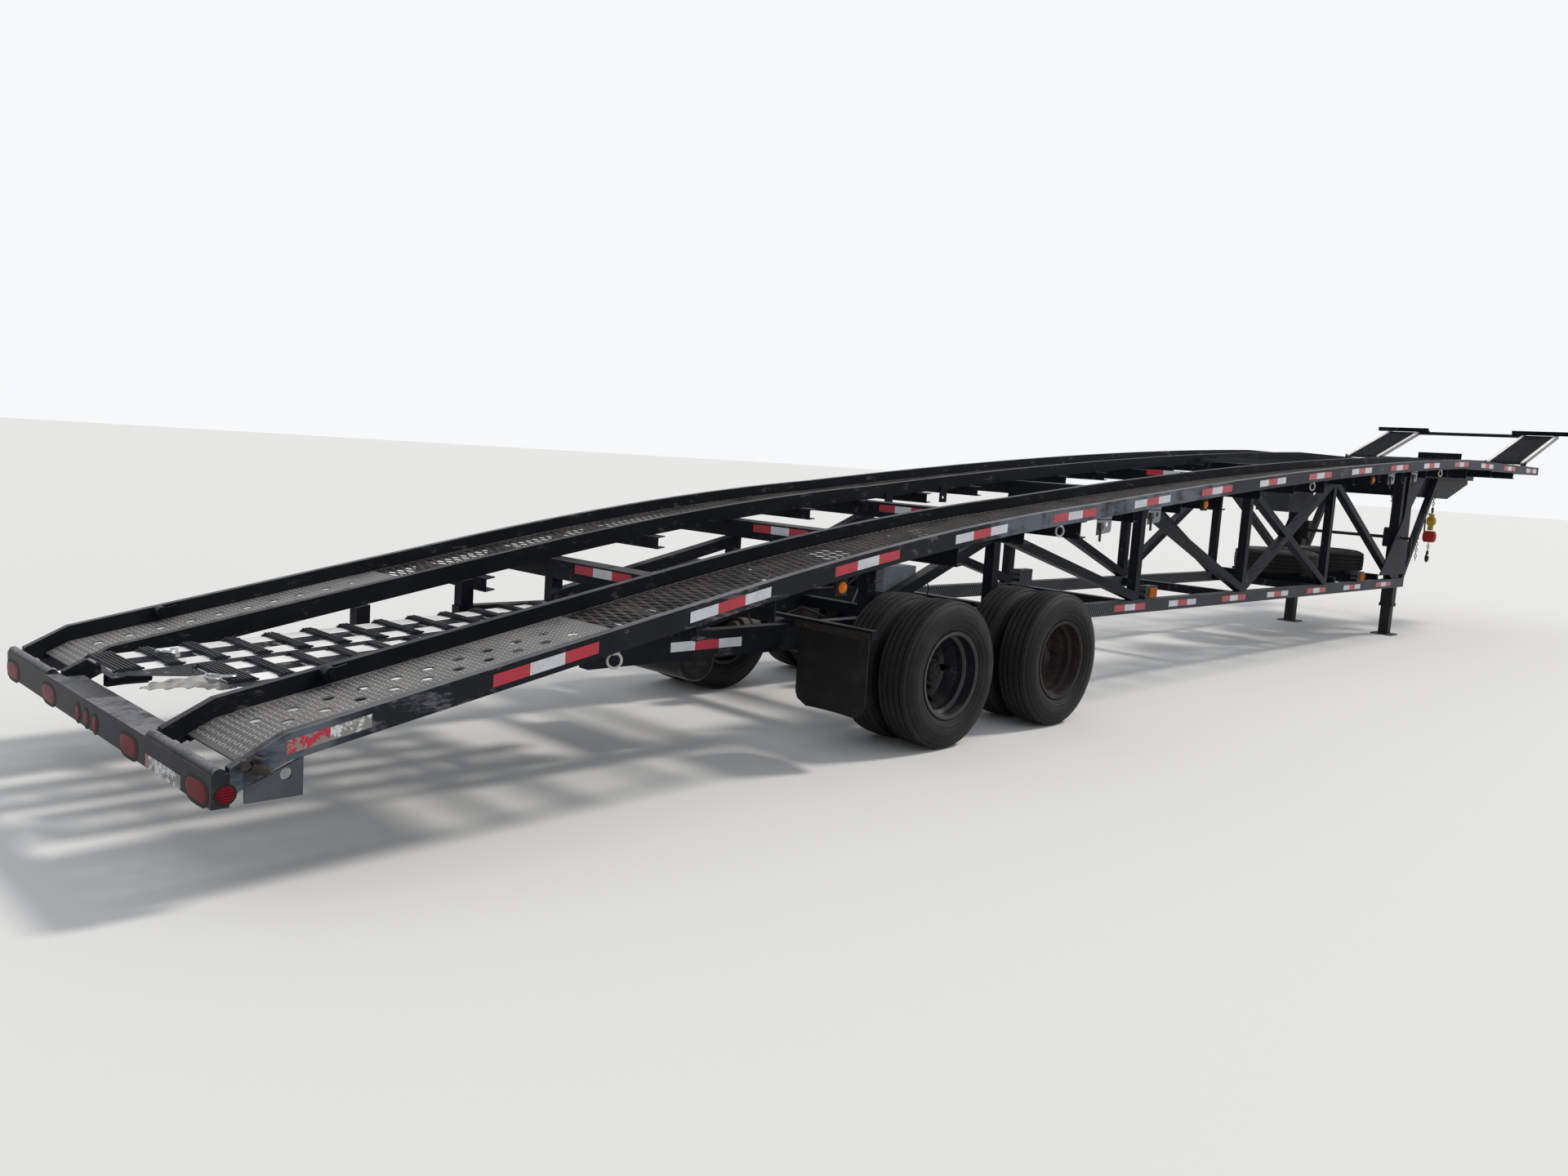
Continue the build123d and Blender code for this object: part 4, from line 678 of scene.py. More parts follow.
def makeTapes():
    strips = {"red": bmesh.new(), "white": bmesh.new()}
    other = {"red": "white", "white": "red"}
    field, proud, gap = tapes["field"], tapes["proud"], tapes["gap"]

    def addStrip(colour, start, end, y, middle, height=tapes["height"]):
        low, high = sorted((y, y + math.copysign(proud, y)))
        return addBlock(strips[colour], at(start, low, middle - height / 2), at(end, high, middle + height / 2))

    def addTape(start, y, middle, colour):
        made = []
        for k in range(tapes["fields"]):
            made += addStrip(colour, start + k * field, start + (k + 1) * field - gap, y, middle)
            colour = other[colour]
        return made

    for side in sides:
        for k, start in enumerate(tapes["railStarts"]):
            layOnDeck(addTape(start, side * halfWidth, -tapes["railMiddle"], "white" if k % 2 else "red"))
        for colour, start, end in tapes["damaged"]:
            layOnDeck(addStrip(colour, start, end, side * halfWidth, -tapes["railMiddle"], tapes["damagedHeight"]))
        chord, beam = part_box("lower_rails"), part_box("frame_beams")
        for k, start in enumerate(tapes["chordStarts"]):
            addTape(start, side * chord[1].y, chord[0].z + tapes["chordMiddle"], "white" if k % 2 else "red")
        addTape(tapes["beamStart"], side * beam[1].y, beam[0].z + tapes["beamMiddle"], "white")
    for start, left, right, z in tapes["crossTapes"]:
        colour, half = "red", tapes["height"] / 2
        count = round((left - right) / field)
        for k in range(count):
            y = left - k * (left - right) / count
            addBlock(strips[colour], at(start - proud, y - (left - right) / count + gap, z - half),
                     at(start, y, z + half))
            colour = other[colour]
    addPiece("tapeRed", "tape_red", strips["red"])
    addPiece("tapeWhite", "tape_white", strips["white"])


makeTapes()
print("tapes made")


# Tyres: crowned tread with four grooves, stepped shoulders and side wall rings, one closed turn each
tyreShape = {
    "width": 0.255, "grooves": (0.0225, 0.0625), "grooveHalf": 0.0036, "grooveDeep": 0.012, "flare": 0.0012,
    "crown": 0.006, "treadHalf": 0.0925, "steps": 96,
    "side": [(0.0975, 0.4300), (0.1005, 0.4235), (0.0990, 0.4205), (0.1040, 0.4150), (0.1125, 0.4040),
             (0.1205, 0.3850), (0.1262, 0.3620), (0.1275, 0.3480), (0.1262, 0.3320), (0.1245, 0.3240),
             (0.1225, 0.3225), (0.1190, 0.3020), (0.1185, 0.2985), (0.1150, 0.2960), (0.1080, 0.2800),
             (0.1060, 0.2770), (0.1040, 0.2770), (0.1000, 0.2680), (0.0940, 0.2620), (0.0900, 0.2560),
             (0.0860, 0.2478)],
}


def tyreOutline(radius):
    def crown(along):
        return radius - tyreShape["crown"] * (along / tyreShape["treadHalf"]) ** 2

    half, reach, flare = [(0.0, radius)], tyreShape["grooveHalf"], tyreShape["flare"]
    for middle in tyreShape["grooves"]:
        bottom = crown(middle) - tyreShape["grooveDeep"]
        half += [(middle - reach - flare, crown(middle - reach)), (middle - reach, bottom),
                 (middle + reach, bottom), (middle + reach + flare, crown(middle + reach))]
    half += [(tyreShape["treadHalf"], crown(tyreShape["treadHalf"])), *tyreShape["side"]]
    return [(-a, r) for a, r in reversed(half[1:])] + half


def addTyres(bm, spots, radius, axle):
    for spot in spots:
        addSpun(bm, tyreOutline(radius), spot, axle, tyreShape["steps"])
    closeUp(bm)


def makeWheelTyres(wheels):
    node = wheels + "_tyres"
    low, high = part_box(node)
    centre, half = middleOf(node), tyreShape["width"] / 2
    spots = [Vector((centre.x, y, centre.z)) for y in (low.y + half, high.y - half)]
    bm = bmesh.new()
    addTyres(bm, spots, (high.z - low.z) / 2, (0, 1, 0))
    looks[node] = rubberMaterial(node + "Rubber", spots[0])
    addPiece(node + "Tread", node, bm, [node], smooth=28, body=wheels + "_wheels")


def makeSpareTyres():
    low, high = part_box("spare_tyres")
    radius = (high.y - low.y) / 2
    bm = bmesh.new()
    spots = [Vector((x, 0, (low.z + high.z) / 2)) for x in (low.x + radius, high.x - radius)]
    addTyres(bm, spots, radius, (0, 0, 1))
    addPiece("spare_tyresTread", "flap_rubber", bm, ["spare_tyres"], smooth=28)


wheelPlaces = ("rear_right", "rear_left", "front_right", "front_left")
for wheels in wheelPlaces:
    makeWheelTyres(wheels)
makeSpareTyres()
print("tyres made")


# Stowed loading ramps: bright side rails, dark ribbed planks across them, chromed hooks lying on them
stowedRamps = {
    "places": ((0.110, 0.245), (0.390, -0.245)), "slope": 0.06, "length": 2.44, "half": 0.20, "railWidth": 0.13,
    "railHigh": 0.060, "crossBar": (0.05, 0.008, 0.048), "plank": 0.058, "plankHigh": 0.010, "pitch": 0.187,
    "first": 0.020, "planks": 13, "ribHigh": 0.0055, "ribWidth": 0.008, "ribPitch": 0.0160, "taper": 0.30,
    "tip": 0.012, "endStart": 0.004, "endPlank": 0.096, "hooks": ((0.358, 0.215, 0.5), (0.335, -0.385, -0.4)),
}


def makeStowedRamps():
    look = stowedRamps
    rails, planks, hooks = newMeshes(3)
    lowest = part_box("loading_ramps")[0].z
    half, high, inside = look["half"], look["railHigh"], look["half"] - look["railWidth"]
    top = high + look["plankHigh"]

    def level(station):
        return lowest + look["slope"] * (station - look["places"][0][0])

    def buildRails():
        for side in sides:
            inner, outer = span(side, inside, half)
            addBlock(rails, (look["taper"], inner, 0), (look["length"], outer, high))
            for v in addBlock(rails, (0, inner, 0), (look["taper"], outer, high)):
                if v.co.x < look["taper"] / 2 and v.co.z < high / 2:
                    v.co.z = high - look["tip"]
        wide, low, up = look["crossBar"]
        for k in range(0, look["planks"], 2):
            x = look["first"] + k * look["pitch"]
            addBlock(rails, (x, -inside, low), (x + wide, inside, up))

    def buildPlanks():
        for k in range(look["planks"]):
            start = look["first"] + k * look["pitch"] if k else look["endStart"]
            width = look["plank"] if k else look["endPlank"]
            addBlock(planks, (start, -half - 0.004, high), (start + width, half + 0.004, top))
            for j in range(int(width / look["ribPitch"])):
                x = start + (j + 0.5) * look["ribPitch"]
                addBlock(planks, (x - look["ribWidth"] / 2, -half - 0.002, top - 0.001),
                         (x + look["ribWidth"] / 2, half + 0.002, top + look["ribHigh"]))
            for y in (0.012 - half, half - 0.012):
                addBlock(planks, (start - 0.012, y - 0.010, high - 0.002),
                         (start + width + 0.012, y + 0.010, high + 0.007))

    def buildHook():
        addRing(hooks, (0, 0, 0), (0.15, 0, 1), 0.030, 0.0065, 0.014, (0, 1, 0))
        addRing(hooks, (0.052, 0.030, 0.002), (-0.1, 0.1, 1), 0.022, 0.0060, 0.010, (1, 0, 0))
        addBlock(hooks, (-0.014, -0.062, -0.010), (0.014, -0.030, 0.006))
        addRod(hooks, (-0.022, -0.030, 0.004), (0.022, -0.030, 0.004), 0.008, 8)

    for station, y in look["places"]:
        place = (Matrix.Translation(at(station, y, level(station)))
                 @ Matrix.Rotation(-math.atan(look["slope"]), 4, "Y"))
        addPlaced(rails, place, buildRails)
        addPlaced(planks, place, buildPlanks)
    for station, y, lean in look["hooks"]:
        place = Matrix.Translation(at(station, y, level(station) + top + 0.012)) @ Matrix.Rotation(lean, 4, "Z")
        addPlaced(hooks, place, buildHook)
    roundEdges(rails, 0.0015)
    addPiece("stowedRampRails", "ramp_aluminium", rails, ["loading_ramps"])
    addPiece("stowedRampPlanks", "dark_rung", planks, smooth=20)
    addPiece("rampHooks", "chrome", hooks, close=True)


makeStowedRamps()
print("stowed ramps made")


# Head ramps: bright side rails, thin dark slats between them, a black angle along each top end
headRamps = {
    "tilt": 15.0, "pivot": (16.770, 0, 2.190), "length": 1.740, "inner": 0.686, "outer": 1.132, "rail": 0.040,
    "half": 0.025, "lip": 0.008, "knuckle": 0.024, "slats": 34, "slat": 0.026, "ribs": (0.003, 0.018),
    "angleInner": 0.130, "angleOuter": 0.144, "leg": 0.070, "gauge": 0.008, "legHigh": 0.060, "bolts": 6,
    "boltBack": 0.03, "barBack": 0.035, "barRadius": 0.024,
}


def makeHeadRamps():
    look = headRamps
    place = Matrix.Translation(at(*look["pivot"])) @ Matrix.Rotation(-math.radians(look["tilt"]), 4, "Y")
    rails, slats, angles = newMeshes(3)
    half, length, rail, lip = look["half"], look["length"], look["rail"], look["lip"]

    def buildRails():
        for side in sides:
            for y in (look["inner"], look["outer"] - rail):
                inner, outer = span(side, y, y + rail)
                addBlock(rails, (0.004 - look["knuckle"], inner, -half), (length, outer, half - 0.003))
                for left in (inner, outer - lip):
                    addBlock(rails, (0.03, left, half - 0.004), (length, left + lip, half))
                addRod(rails, (0, inner - 0.001, 0), (0, outer + 0.001, 0), look["knuckle"], 24)

    def buildSlats():
        for side in sides:
            inner, outer = span(side, look["inner"] + rail - 0.002, look["outer"] - rail + 0.002)
            for k in range(look["slats"]):
                x = 0.045 + k * (length - 0.13) / (look["slats"] - 1)
                addBlock(slats, (x, inner, -0.006), (x + look["slat"], outer, 0.014))
                for rib in look["ribs"]:
                    addBlock(slats, (x + rib, inner, 0.012), (x + rib + 0.005, outer, 0.0185))
            for y in (inner + 0.09, outer - 0.11):
                addBlock(slats, (0.03, y, 0.002 - half), (length - 0.03, y + 0.02, -0.004))

    def buildAngles():
        back, gauge = length - look["leg"], look["gauge"]
        for side in sides:
            inner, outer = span(side, look["inner"] - look["angleInner"], look["outer"] + look["angleOuter"])
            addBlock(angles, (back, inner, half), (length, outer, half + gauge))
            addBlock(angles, (back, inner, half), (back + gauge, outer, half + look["legHigh"]))
            for k in range(look["bolts"]):
                x, y = length - look["boltBack"], inner + 0.06 + k * (outer - inner - 0.12) / (look["bolts"] - 1)
                addRod(angles, (x, y, half + gauge), (x, y, half + gauge + 0.006), 0.009, 6)
        x = length - look["barBack"]
        addRod(angles, (x, -look["inner"], 0), (x, look["inner"], 0), look["barRadius"], 20)

    for bm, build in ((rails, buildRails), (slats, buildSlats), (angles, buildAngles)):
        addPlaced(bm, place, build)
    addPiece("headRampRails", "ramp_aluminium", rails, ["head_ramps"], body="head_ramp_set")
    addPiece("headRampSlats", "dark_rung", slats, smooth=20, body="head_ramp_set")
    addPiece("headRampAngles", "frame_black", angles, ["head_ramp_bar"], body="head_ramp_set")


makeHeadRamps()
print("head ramps made")


# Lamps: lenses crowned over a dark rubber ring; sizes are half width and half height
lamps = {
    "ovals": (-1.164, -0.468, 0.595, 1.190), "rounds": (-0.060, 0.055, 0.170), "height": 0.405,
    "oval": (0.1007, 0.0384), "round": (0.032, 0.032), "deep": 0.005, "ring": 0.015,
    "side": (0.046, 0.412), "sideDeep": 0.004, "sideRing": 0.007,
    "markers": (3.120, 7.180, 10.709), "marker": (0.034, 0.034), "markerDeep": 0.019, "markerBelow": 0.150,
    "markerFace": (1.2500, 1.2655), "chordLamps": (7.709, 12.591), "chordFace": 0.6455, "chordHeight": 0.735,
}


def addDome(bm, place, wide, high, deep, lift):
    before = set(bm.verts)
    bmesh.ops.create_uvsphere(bm, u_segments=24, v_segments=8, radius=1.0)
    bmesh.ops.delete(bm, geom=[v for v in addedSince(bm, before) if v.co.z < -0.01], context="VERTS")
    rim = [e for e in bm.edges if e.is_boundary and e.verts[0] not in before]
    bmesh.ops.contextual_create(bm, geom=rim)
    made = addedSince(bm, before)
    for v in made:
        if wide > high * 1.5 and math.hypot(v.co.x, v.co.y) > 1e-5:    # long lamps are squared off
            v.co.x = math.copysign(min(1, abs(v.co.x) ** 0.55), v.co.x)
        v.co = Vector((v.co.x * wide, v.co.y * high, v.co.z * deep + lift))
    bmesh.ops.transform(bm, matrix=place, verts=made)


def addLens(bm, rubber, centre, out, size, deep, ring):
    place = Matrix.Translation(centre) @ Vector(out).to_track_quat("Z", "Y").to_matrix().to_4x4()
    wide, high = size
    addDome(rubber, place, wide + ring, high + ring, deep * 0.55, 0)
    addDome(bm, place, wide, high, deep, 0.0006)


def makeLamps():
    look = lamps
    red, amber, rubber = newMeshes(3)
    for size in ("oval", "round"):
        for y in look[size + "s"]:
            addLens(red, rubber, at(0, y, look["height"]), (-1, 0, 0), look[size], look["deep"], look["ring"])
    for side in sides:
        out = (0, side, 0)
        station, z = look["side"]
        spot = at(station, side * halfWidth, z)
        addLens(red, rubber, spot, out, look["round"], look["sideDeep"], look["sideRing"])
        low, high = span(side, *look["markerFace"])
        for station in look["markers"]:
            z = railTop(station) - look["markerBelow"]
            addLens(amber, rubber, at(station, side * look["markerFace"][1], z), out, look["marker"],
                    look["markerDeep"], look["sideRing"])
            addBlock(rubber, at(station - 0.045, low, z - 0.045), at(station + 0.045, high, z + 0.045))
            addBlock(rubber, at(station - 0.012, low, z), at(station + 0.012, high, z + 0.060))
        z = look["chordHeight"]
        low, high = span(side, look["chordFace"], look["chordFace"] + 0.012)
        y = side * (look["chordFace"] + 0.0105)
        for station in look["chordLamps"]:
            addBlock(amber, at(station - 0.056, low, z - 0.038), at(station + 0.056, high, z + 0.038))
            for x in (station + k * 0.022 for k in range(-2, 3)):
                addRod(amber, at(x, y, z - 0.034), at(x, y, z + 0.034), 0.0065, 8)
    roundEdges(rubber, 0.001)
    addPiece("rearLenses", "lamp_red", red, ["rear_lamps"], close=True)
    addPiece("markerLenses", "lamp_amber", amber, ["marker_lamps"], close=True)
    addPiece("lampRubbers", "flap_rubber", rubber, close=True)


makeLamps()
print("lamps made")


# Lever hoist that hangs beside the neck: chains, hooks, yellow block, red body
hoist = {
    "station": 15.03, "y": -0.5895, "top": 1.935, "blockTop": 1.480, "blockHub": 1.37, "bodyTop": 1.245,
    "bodyHub": 1.175, "bodyBottom": 1.105, "hook": 0.905, "handChain": (15.0, -0.465), "handEnds": (1.430, 0.860),
    "link": 0.012, "linkWire": 0.0048, "handWire": 0.0045, "linkStretch": 0.008, "linkGap": 0.006,
    "topHook": (0.022, 0.007), "lowHook": (0.044, 0.013),
}


def addChain(bm, top, bottom, wire):
    link = hoist["link"]
    count = max(1, int((top - bottom).length / (2 * link + 2 * hoist["linkGap"])))
    for k in range(count):
        addRing(bm, top.lerp(bottom, (k + 0.5) / count), (1, 0.25, 0) if k % 2 else (-0.25, 1, 0), link, wire,
                hoist["linkStretch"], steps=8)


def addOpenHook(bm, spot, radius, wire):
    points = [spot + Vector((x, 0, z)) for x, z in (around(radius, math.radians(d)) for d in range(100, 391, 29))]
    addBent(bm, [spot + Vector((0, 0, radius * 2.1)), *points], wire)


def makeHoist():
    look = hoist
    chains, red, yellow = newMeshes(3)
    spot = at(look["station"], look["y"], 0)

    def hang(dx, dy, z):
        return Vector((spot.x + dx, spot.y + dy, z))

    addChain(chains, hang(0, 0, look["top"]), hang(0, 0, look["blockTop"] + 0.02), look["linkWire"])
    addOpenHook(chains, hang(0, 0, look["blockTop"] + 0.01), *look["topHook"])
    addRod(chains, hang(0.02, 0.070, 1.20), hang(0.05, 0.085, 1.40), 0.009, 8)
    addChain(chains, hang(0, 0, look["bodyBottom"]), hang(0, 0, look["hook"] + 0.045), look["linkWire"])
    addOpenHook(chains, hang(0, 0, look["hook"]), *look["lowHook"])
    top, bottom = look["handEnds"]
    addChain(chains, at(*look["handChain"], top), at(*look["handChain"], bottom), look["handWire"])
    addBent(chains, [at(*look["handChain"], top), hang(-0.01, 0.05, top + 0.03), hang(0, 0.01, 1.46)], 0.007)
    addBlock(yellow, hang(-0.030, -0.026, look["bodyTop"] + 0.010), hang(0.030, 0.026, look["blockTop"] - 0.020))
    addBlock(red, hang(-0.060, -0.050, look["bodyBottom"]), hang(0.060, 0.050, look["bodyTop"]))
    for bm, hub, reach, radius, facets in (
            (yellow, "blockHub", 0.045, 0.048, 20), (yellow, "blockHub", 0.052, 0.016, 10),
            (red, "bodyHub", 0.066, 0.062, 24), (red, "bodyHub", 0.074, 0.030, 16)):
        addRod(bm, hang(0, -reach, look[hub]), hang(0, reach, look[hub]), radius, facets)
    roundEdges(red, 0.006, 2)
    roundEdges(yellow, 0.004, 2)
    addPiece("hoistChains", "axle_iron", chains, ["chain_hoist"], close=True)
    addPiece("hoistBody", "hoist_red", red)
    addPiece("hoistBlock", "hoist_yellow", yellow)


makeHoist()
print("hoist made")


# Tie-down plates with their latches, corner plates, rings under the outer rails, straps on the inner rails
tieDowns = {
    "plates": (5.650, 6.330, 11.130, 11.810), "behind": 0.075, "ahead": 0.105, "deep": 0.108, "cut": 0.015,
    "hole": (-0.052, -0.055, 0.018), "gauge": 0.006, "railWidth": 0.045, "latch": (0.022, -0.050),
    "latchProud": 0.022, "latchMiddle": 0.012, "corner": (0.110, 0.310, 0.370), "cornerHole": (0.250, 0.455, 0.022),
    "cornerGauge": 0.012, "rings": (1.673, 5.164, 9.225, 12.765), "ringIn": 0.028, "ringRadius": 0.033,
    "ringWire": 0.0062, "straps": (5.71, 6.40, 11.16), "strapHalf": 0.045, "strapEnds": (0.03, -0.105),
    "strapHole": (-0.065, 0.014), "strapY": 0.5965, "strapGauge": 0.008,
}


def makeTieDowns():
    look = tieDowns
    plates, corners, rusty, rings, black = newMeshes(5)
    gauge, cut = look["gauge"], look["cut"]
    for side in sides:
        for station in look["plates"]:
            start, end = station - look["behind"], station + look["ahead"]
            rear, front = railBottom(start), railBottom(end)
            outline = [(start, rear), (end, front), (end, front - look["deep"] + cut),
                       (end - cut, front - look["deep"]), (start, rear - look["deep"])]
            back, drop, radius = look["hole"]
            addPlate(plates, side * (halfWidth - gauge / 2), outline, [(end + back, front + drop, radius)], gauge)
            low, high = span(side, halfWidth - look["railWidth"], halfWidth)
            addBlock(plates, at(start, low, rear - gauge), at(end, high, rear))
            x, z = start + look["latch"][0], rear + look["latch"][1]
            low, high = span(side, halfWidth, halfWidth + look["latchProud"])
            y = side * (halfWidth + look["latchMiddle"])
            addBlock(rusty, at(x - 0.015, low, z - 0.020), at(x + 0.015, high, z + 0.026))
            addRod(rusty, at(x, y, z - 0.014), at(x + 0.006, y - side * 0.002, z - 0.098), 0.0085)
            addRod(rusty, at(x - 0.02, y, z), at(x + 0.03, y, z), 0.010)
        start, end, low = look["corner"]
        outline = [(start, low), (end, low), (end, railBottom(end)), (start, railBottom(start))]
        thick = look["cornerGauge"]
        addPlate(corners, side * (halfWidth - thick / 2), outline, [look["cornerHole"]], thick, 32)
        y, radius = side * (halfWidth - look["ringIn"]), look["ringRadius"]
        for station in look["rings"]:
            z = railBottom(station)
            addRing(rings, at(station, y, z - radius - 0.008), (-0.25, side, 0), radius, look["ringWire"],
                    steps=24, facets=8)
            addBlock(rings, at(station - 0.020, y - 0.010, z - 0.016), at(station + 0.020, y + 0.010, z))
        (up, down), half = look["strapEnds"], look["strapHalf"]
        for station in look["straps"]:
            z = railBottom(station)
            outline = [(station - half, z + up), (station + half, z + up), (station + half, z + down),
                       (station - half, z + down)]
            drop, radius = look["strapHole"]
            addPlate(black, side * look["strapY"], outline, [(station, z + drop, radius)], look["strapGauge"])
    addPiece("cornerPlates", "corner_steel", corners, close=True)
    addPiece("tiePlates", "galvanised", plates, ["tie_down_plates"], close=True)
    addPiece("tieLatches", "rusty_part", rusty, close=True)
    addPiece("tieRings", "bright_ring", rings, close=True)
    addPiece("railStraps", "frame_black", black, close=True)


makeTieDowns()
print("tie-downs made")


# Rear end: roller stubs on gussets, pipe stub, spring latch, worn edges, tape on the bumper
rearFittings = {
    "stubs": ((0.681, -0.668, 0.661), (0.664, 1.228, 0.650)), "stubRadius": 0.031, "stubBore": 0.015,
    "gusset": ((-0.025, -0.030), (0.085, -0.014), (0.075, 0.036), (0.010, 0.020)), "gussetGauge": 0.008,
    "pipe": ((0.150, 0.030), (0.152, 0.024)), "pipeY": 0.330, "pipeEnd": 0.330, "pipeHeights": (0.500, 0.512),
    "latch": ((0.108, -1.304, 0.508), (0.198, -1.304, 0.468)), "latchPin": 0.009,
    "coils": 9, "coil": (0.0165, 0.0035), "coilStart": 0.30, "coilPitch": 0.075,
    "handle": ((0.100, -1.312, 0.520), (0.130, -1.318, 0.535), (0.165, -1.314, 0.520)), "handleRadius": 0.006,
    "edge": (0.19, 1.64, 12), "edgeFaces": (0.6457, 0.6520), "edgeHigh": 0.0016, "lugs": (-0.80, -1.08),
    "tape": (("red", -0.655, -0.690), ("white", -0.690, -0.860), ("white", -0.862, -1.015)),
    "tapeHeights": (0.366, 0.418),
}


def makeRearEnd():
    look = rearFittings
    black, rusty, bare = newMeshes(3)
    for station, y, z in look["stubs"]:
        addRod(black, at(station, y - 0.040, z), at(station, y + 0.022, z), look["stubRadius"], 24)
        addRod(black, at(station, y - 0.046, z), at(station, y + 0.022, z), look["stubBore"], 12)
        gusset = [(station + dx, z + dz) for dx, dz in look["gusset"]]
        addPlate(black, y - look["gussetGauge"], gusset, [], look["gussetGauge"])
    y, (low, high) = look["pipeY"], look["pipeHeights"]
    for station, radius in look["pipe"]:
        addRod(black, at(station, y, low), at(look["pipeEnd"], y, high), radius, 20, capped=False)
    addBlock(black, at(0.150, 0.350, 0.470), at(0.330, 0.360, 0.515))
    start, end = (at(*p) for p in look["latch"])
    addRod(rusty, start, end, look["latchPin"], 10)
    for k in range(look["coils"]):
        spot = start.lerp(end, look["coilStart"] + k * look["coilPitch"])
        addRing(rusty, spot, end - start, *look["coil"], steps=12)
    addBlock(rusty, at(0.092, -1.312, 0.492), at(0.118, -1.2955, 0.526))
    addBent(rusty, [at(*p) for p in look["handle"]], look["handleRadius"])
    first, length, count = look["edge"]
    for side in sides:
        low, high = span(side, *look["edgeFaces"])
        for k in range(count):
            s0, s1 = (first + length * j / count for j in (k, k + 1))
            layOnDeck(addBlock(bare, at(s0, low, 0), at(s1, high, look["edgeHigh"])), runway["drop"])
        for y in look["lugs"]:
            low, high = span(side, y, y + 0.05)
            addBlock(bare, at(0.062, low, 0.470), at(0.072, high, 0.480))
    addPiece("rollerStubs", "frame_black", black, close=True)
    addPiece("springLatch", "rusty_part", rusty, close=True)
    addPiece("wornEdges", "lug_steel", bare, close=True)
    strips = {"red": bmesh.new(), "white": bmesh.new()}
    bottom, top = look["tapeHeights"]
    for colour, left, right in look["tape"]:
        addBlock(strips[colour], at(-tapes["proud"], right, bottom), at(0, left, top))
    addPiece("bumperTapeRed", "tape_red", strips["red"])
    addPiece("bumperTapeWhite", "tape_white", strips["white"])


makeRearEnd()
print("rear end made")


# Torn cloth strap that lies folded over the rear end of the right-hand stowed ramp
strap = {
    "points": ((0.190, -0.055, 0.538), (0.245, -0.150, 0.560), (0.305, -0.235, 0.578), (0.360, -0.320, 0.588),
               (0.405, -0.420, 0.592)), "width": 0.12, "thick": 0.003, "steps": 8, "columns": 8, "lift": 0.006,
}


def makeStrap():
    points, steps, columns = [at(*p) for p in strap["points"]], strap["steps"], strap["columns"]
    rows = []
    for k in range((len(points) - 1) * steps + 1):
        i = min(k // steps, len(points) - 2)
        middle = points[i].lerp(points[i + 1], k / steps - i)
        narrow = strap["width"] * (0.55 + 0.45 * min(1, k / 10)) * (1 + 0.10 * math.sin(k * 1.7))
        row = []
        for j in range(columns + 1):
            off = (j / columns - 0.5) * narrow
            wave = 0.004 * math.sin(k * 0.9 + j * 1.1) + 0.003 * math.sin(j * 2.3)
            row.append(middle + Vector((off * 0.85, off * 0.20, strap["lift"] + off * 0.30 + wave)))
        rows.append(row)
    bm = bmesh.new()
    addSheet(bm, rows)
    thicken(bm, strap["thick"])
    bmesh.ops.recalc_face_normals(bm, faces=bm.faces)
    addPiece("clothStrap", "strap_cloth", bm, smooth=50)


makeStrap()
print("strap made")


# Wheels: studs with nuts on each disc, bolts and middle of the hub cap, valve stem
wheelBits = {
    "disc": 0.012, "circle": 0.1429, "nuts": 10, "nut": 0.0165, "nutHigh": 0.016, "stud": 0.010, "studLong": 0.030,
    "washer": 1.25, "capCircle": 0.03844, "capBolts": 6, "capBolt": 0.0065, "capMiddle": 0.022,
    "valveRadius": 0.205, "valveAngle": 0.9, "valveWire": 0.004,
}


def makeWheelBits(wheels):
    look = wheelBits
    centre = middleOf(wheels + "_tyres")
    side = math.copysign(1, centre.y)
    disc = centre.y + side * look["disc"]
    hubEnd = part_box(wheels + "_hub")[1 if side > 0 else 0].y
    nuts, bolts = newMeshes(2)

    def out(bm, x, z, start, end, radius, facets):
        addRod(bm, (x, start, z), (x, end, z), radius, facets)

    for k in range(look["nuts"]):
        x, z = around(look["circle"], math.tau * (k + 0.5) / look["nuts"], centre.x, centre.z)
        out(nuts, x, z, disc, disc + side * 0.004, look["nut"] * look["washer"], 16)
        out(nuts, x, z, disc + side * 0.003, disc + side * look["nutHigh"], look["nut"], 6)
        out(nuts, x, z, disc, disc + side * look["studLong"], look["stud"], 10)
    for k in range(look["capBolts"]):
        x, z = around(look["capCircle"], math.tau * k / look["capBolts"], centre.x, centre.z)
        out(bolts, x, z, hubEnd - side * 0.004, hubEnd + side * 0.005, look["capBolt"], 6)
    out(bolts, centre.x, centre.z, hubEnd - side * 0.004, hubEnd + side * 0.004, look["capMiddle"], 20)
    x, z = around(look["valveRadius"], look["valveAngle"], centre.x, centre.z)
    stem = [(x, disc + side * 0.004, z), (x, disc + side * 0.045, z), (x - 0.01, disc + side * 0.085, z - 0.008)]
    addBent(bolts, stem, look["valveWire"])
    worn = "rim_rust" if wheels.startswith("front") else "hub_iron"
    addPiece(wheels + "_wheelNuts", worn, nuts, body=wheels + "_wheels", close=True)
    addPiece(wheels + "_capBolts", "hub_iron", bolts, body=wheels + "_wheels", close=True)


for wheels in wheelPlaces:
    makeWheelBits(wheels)
print("wheel fittings made")


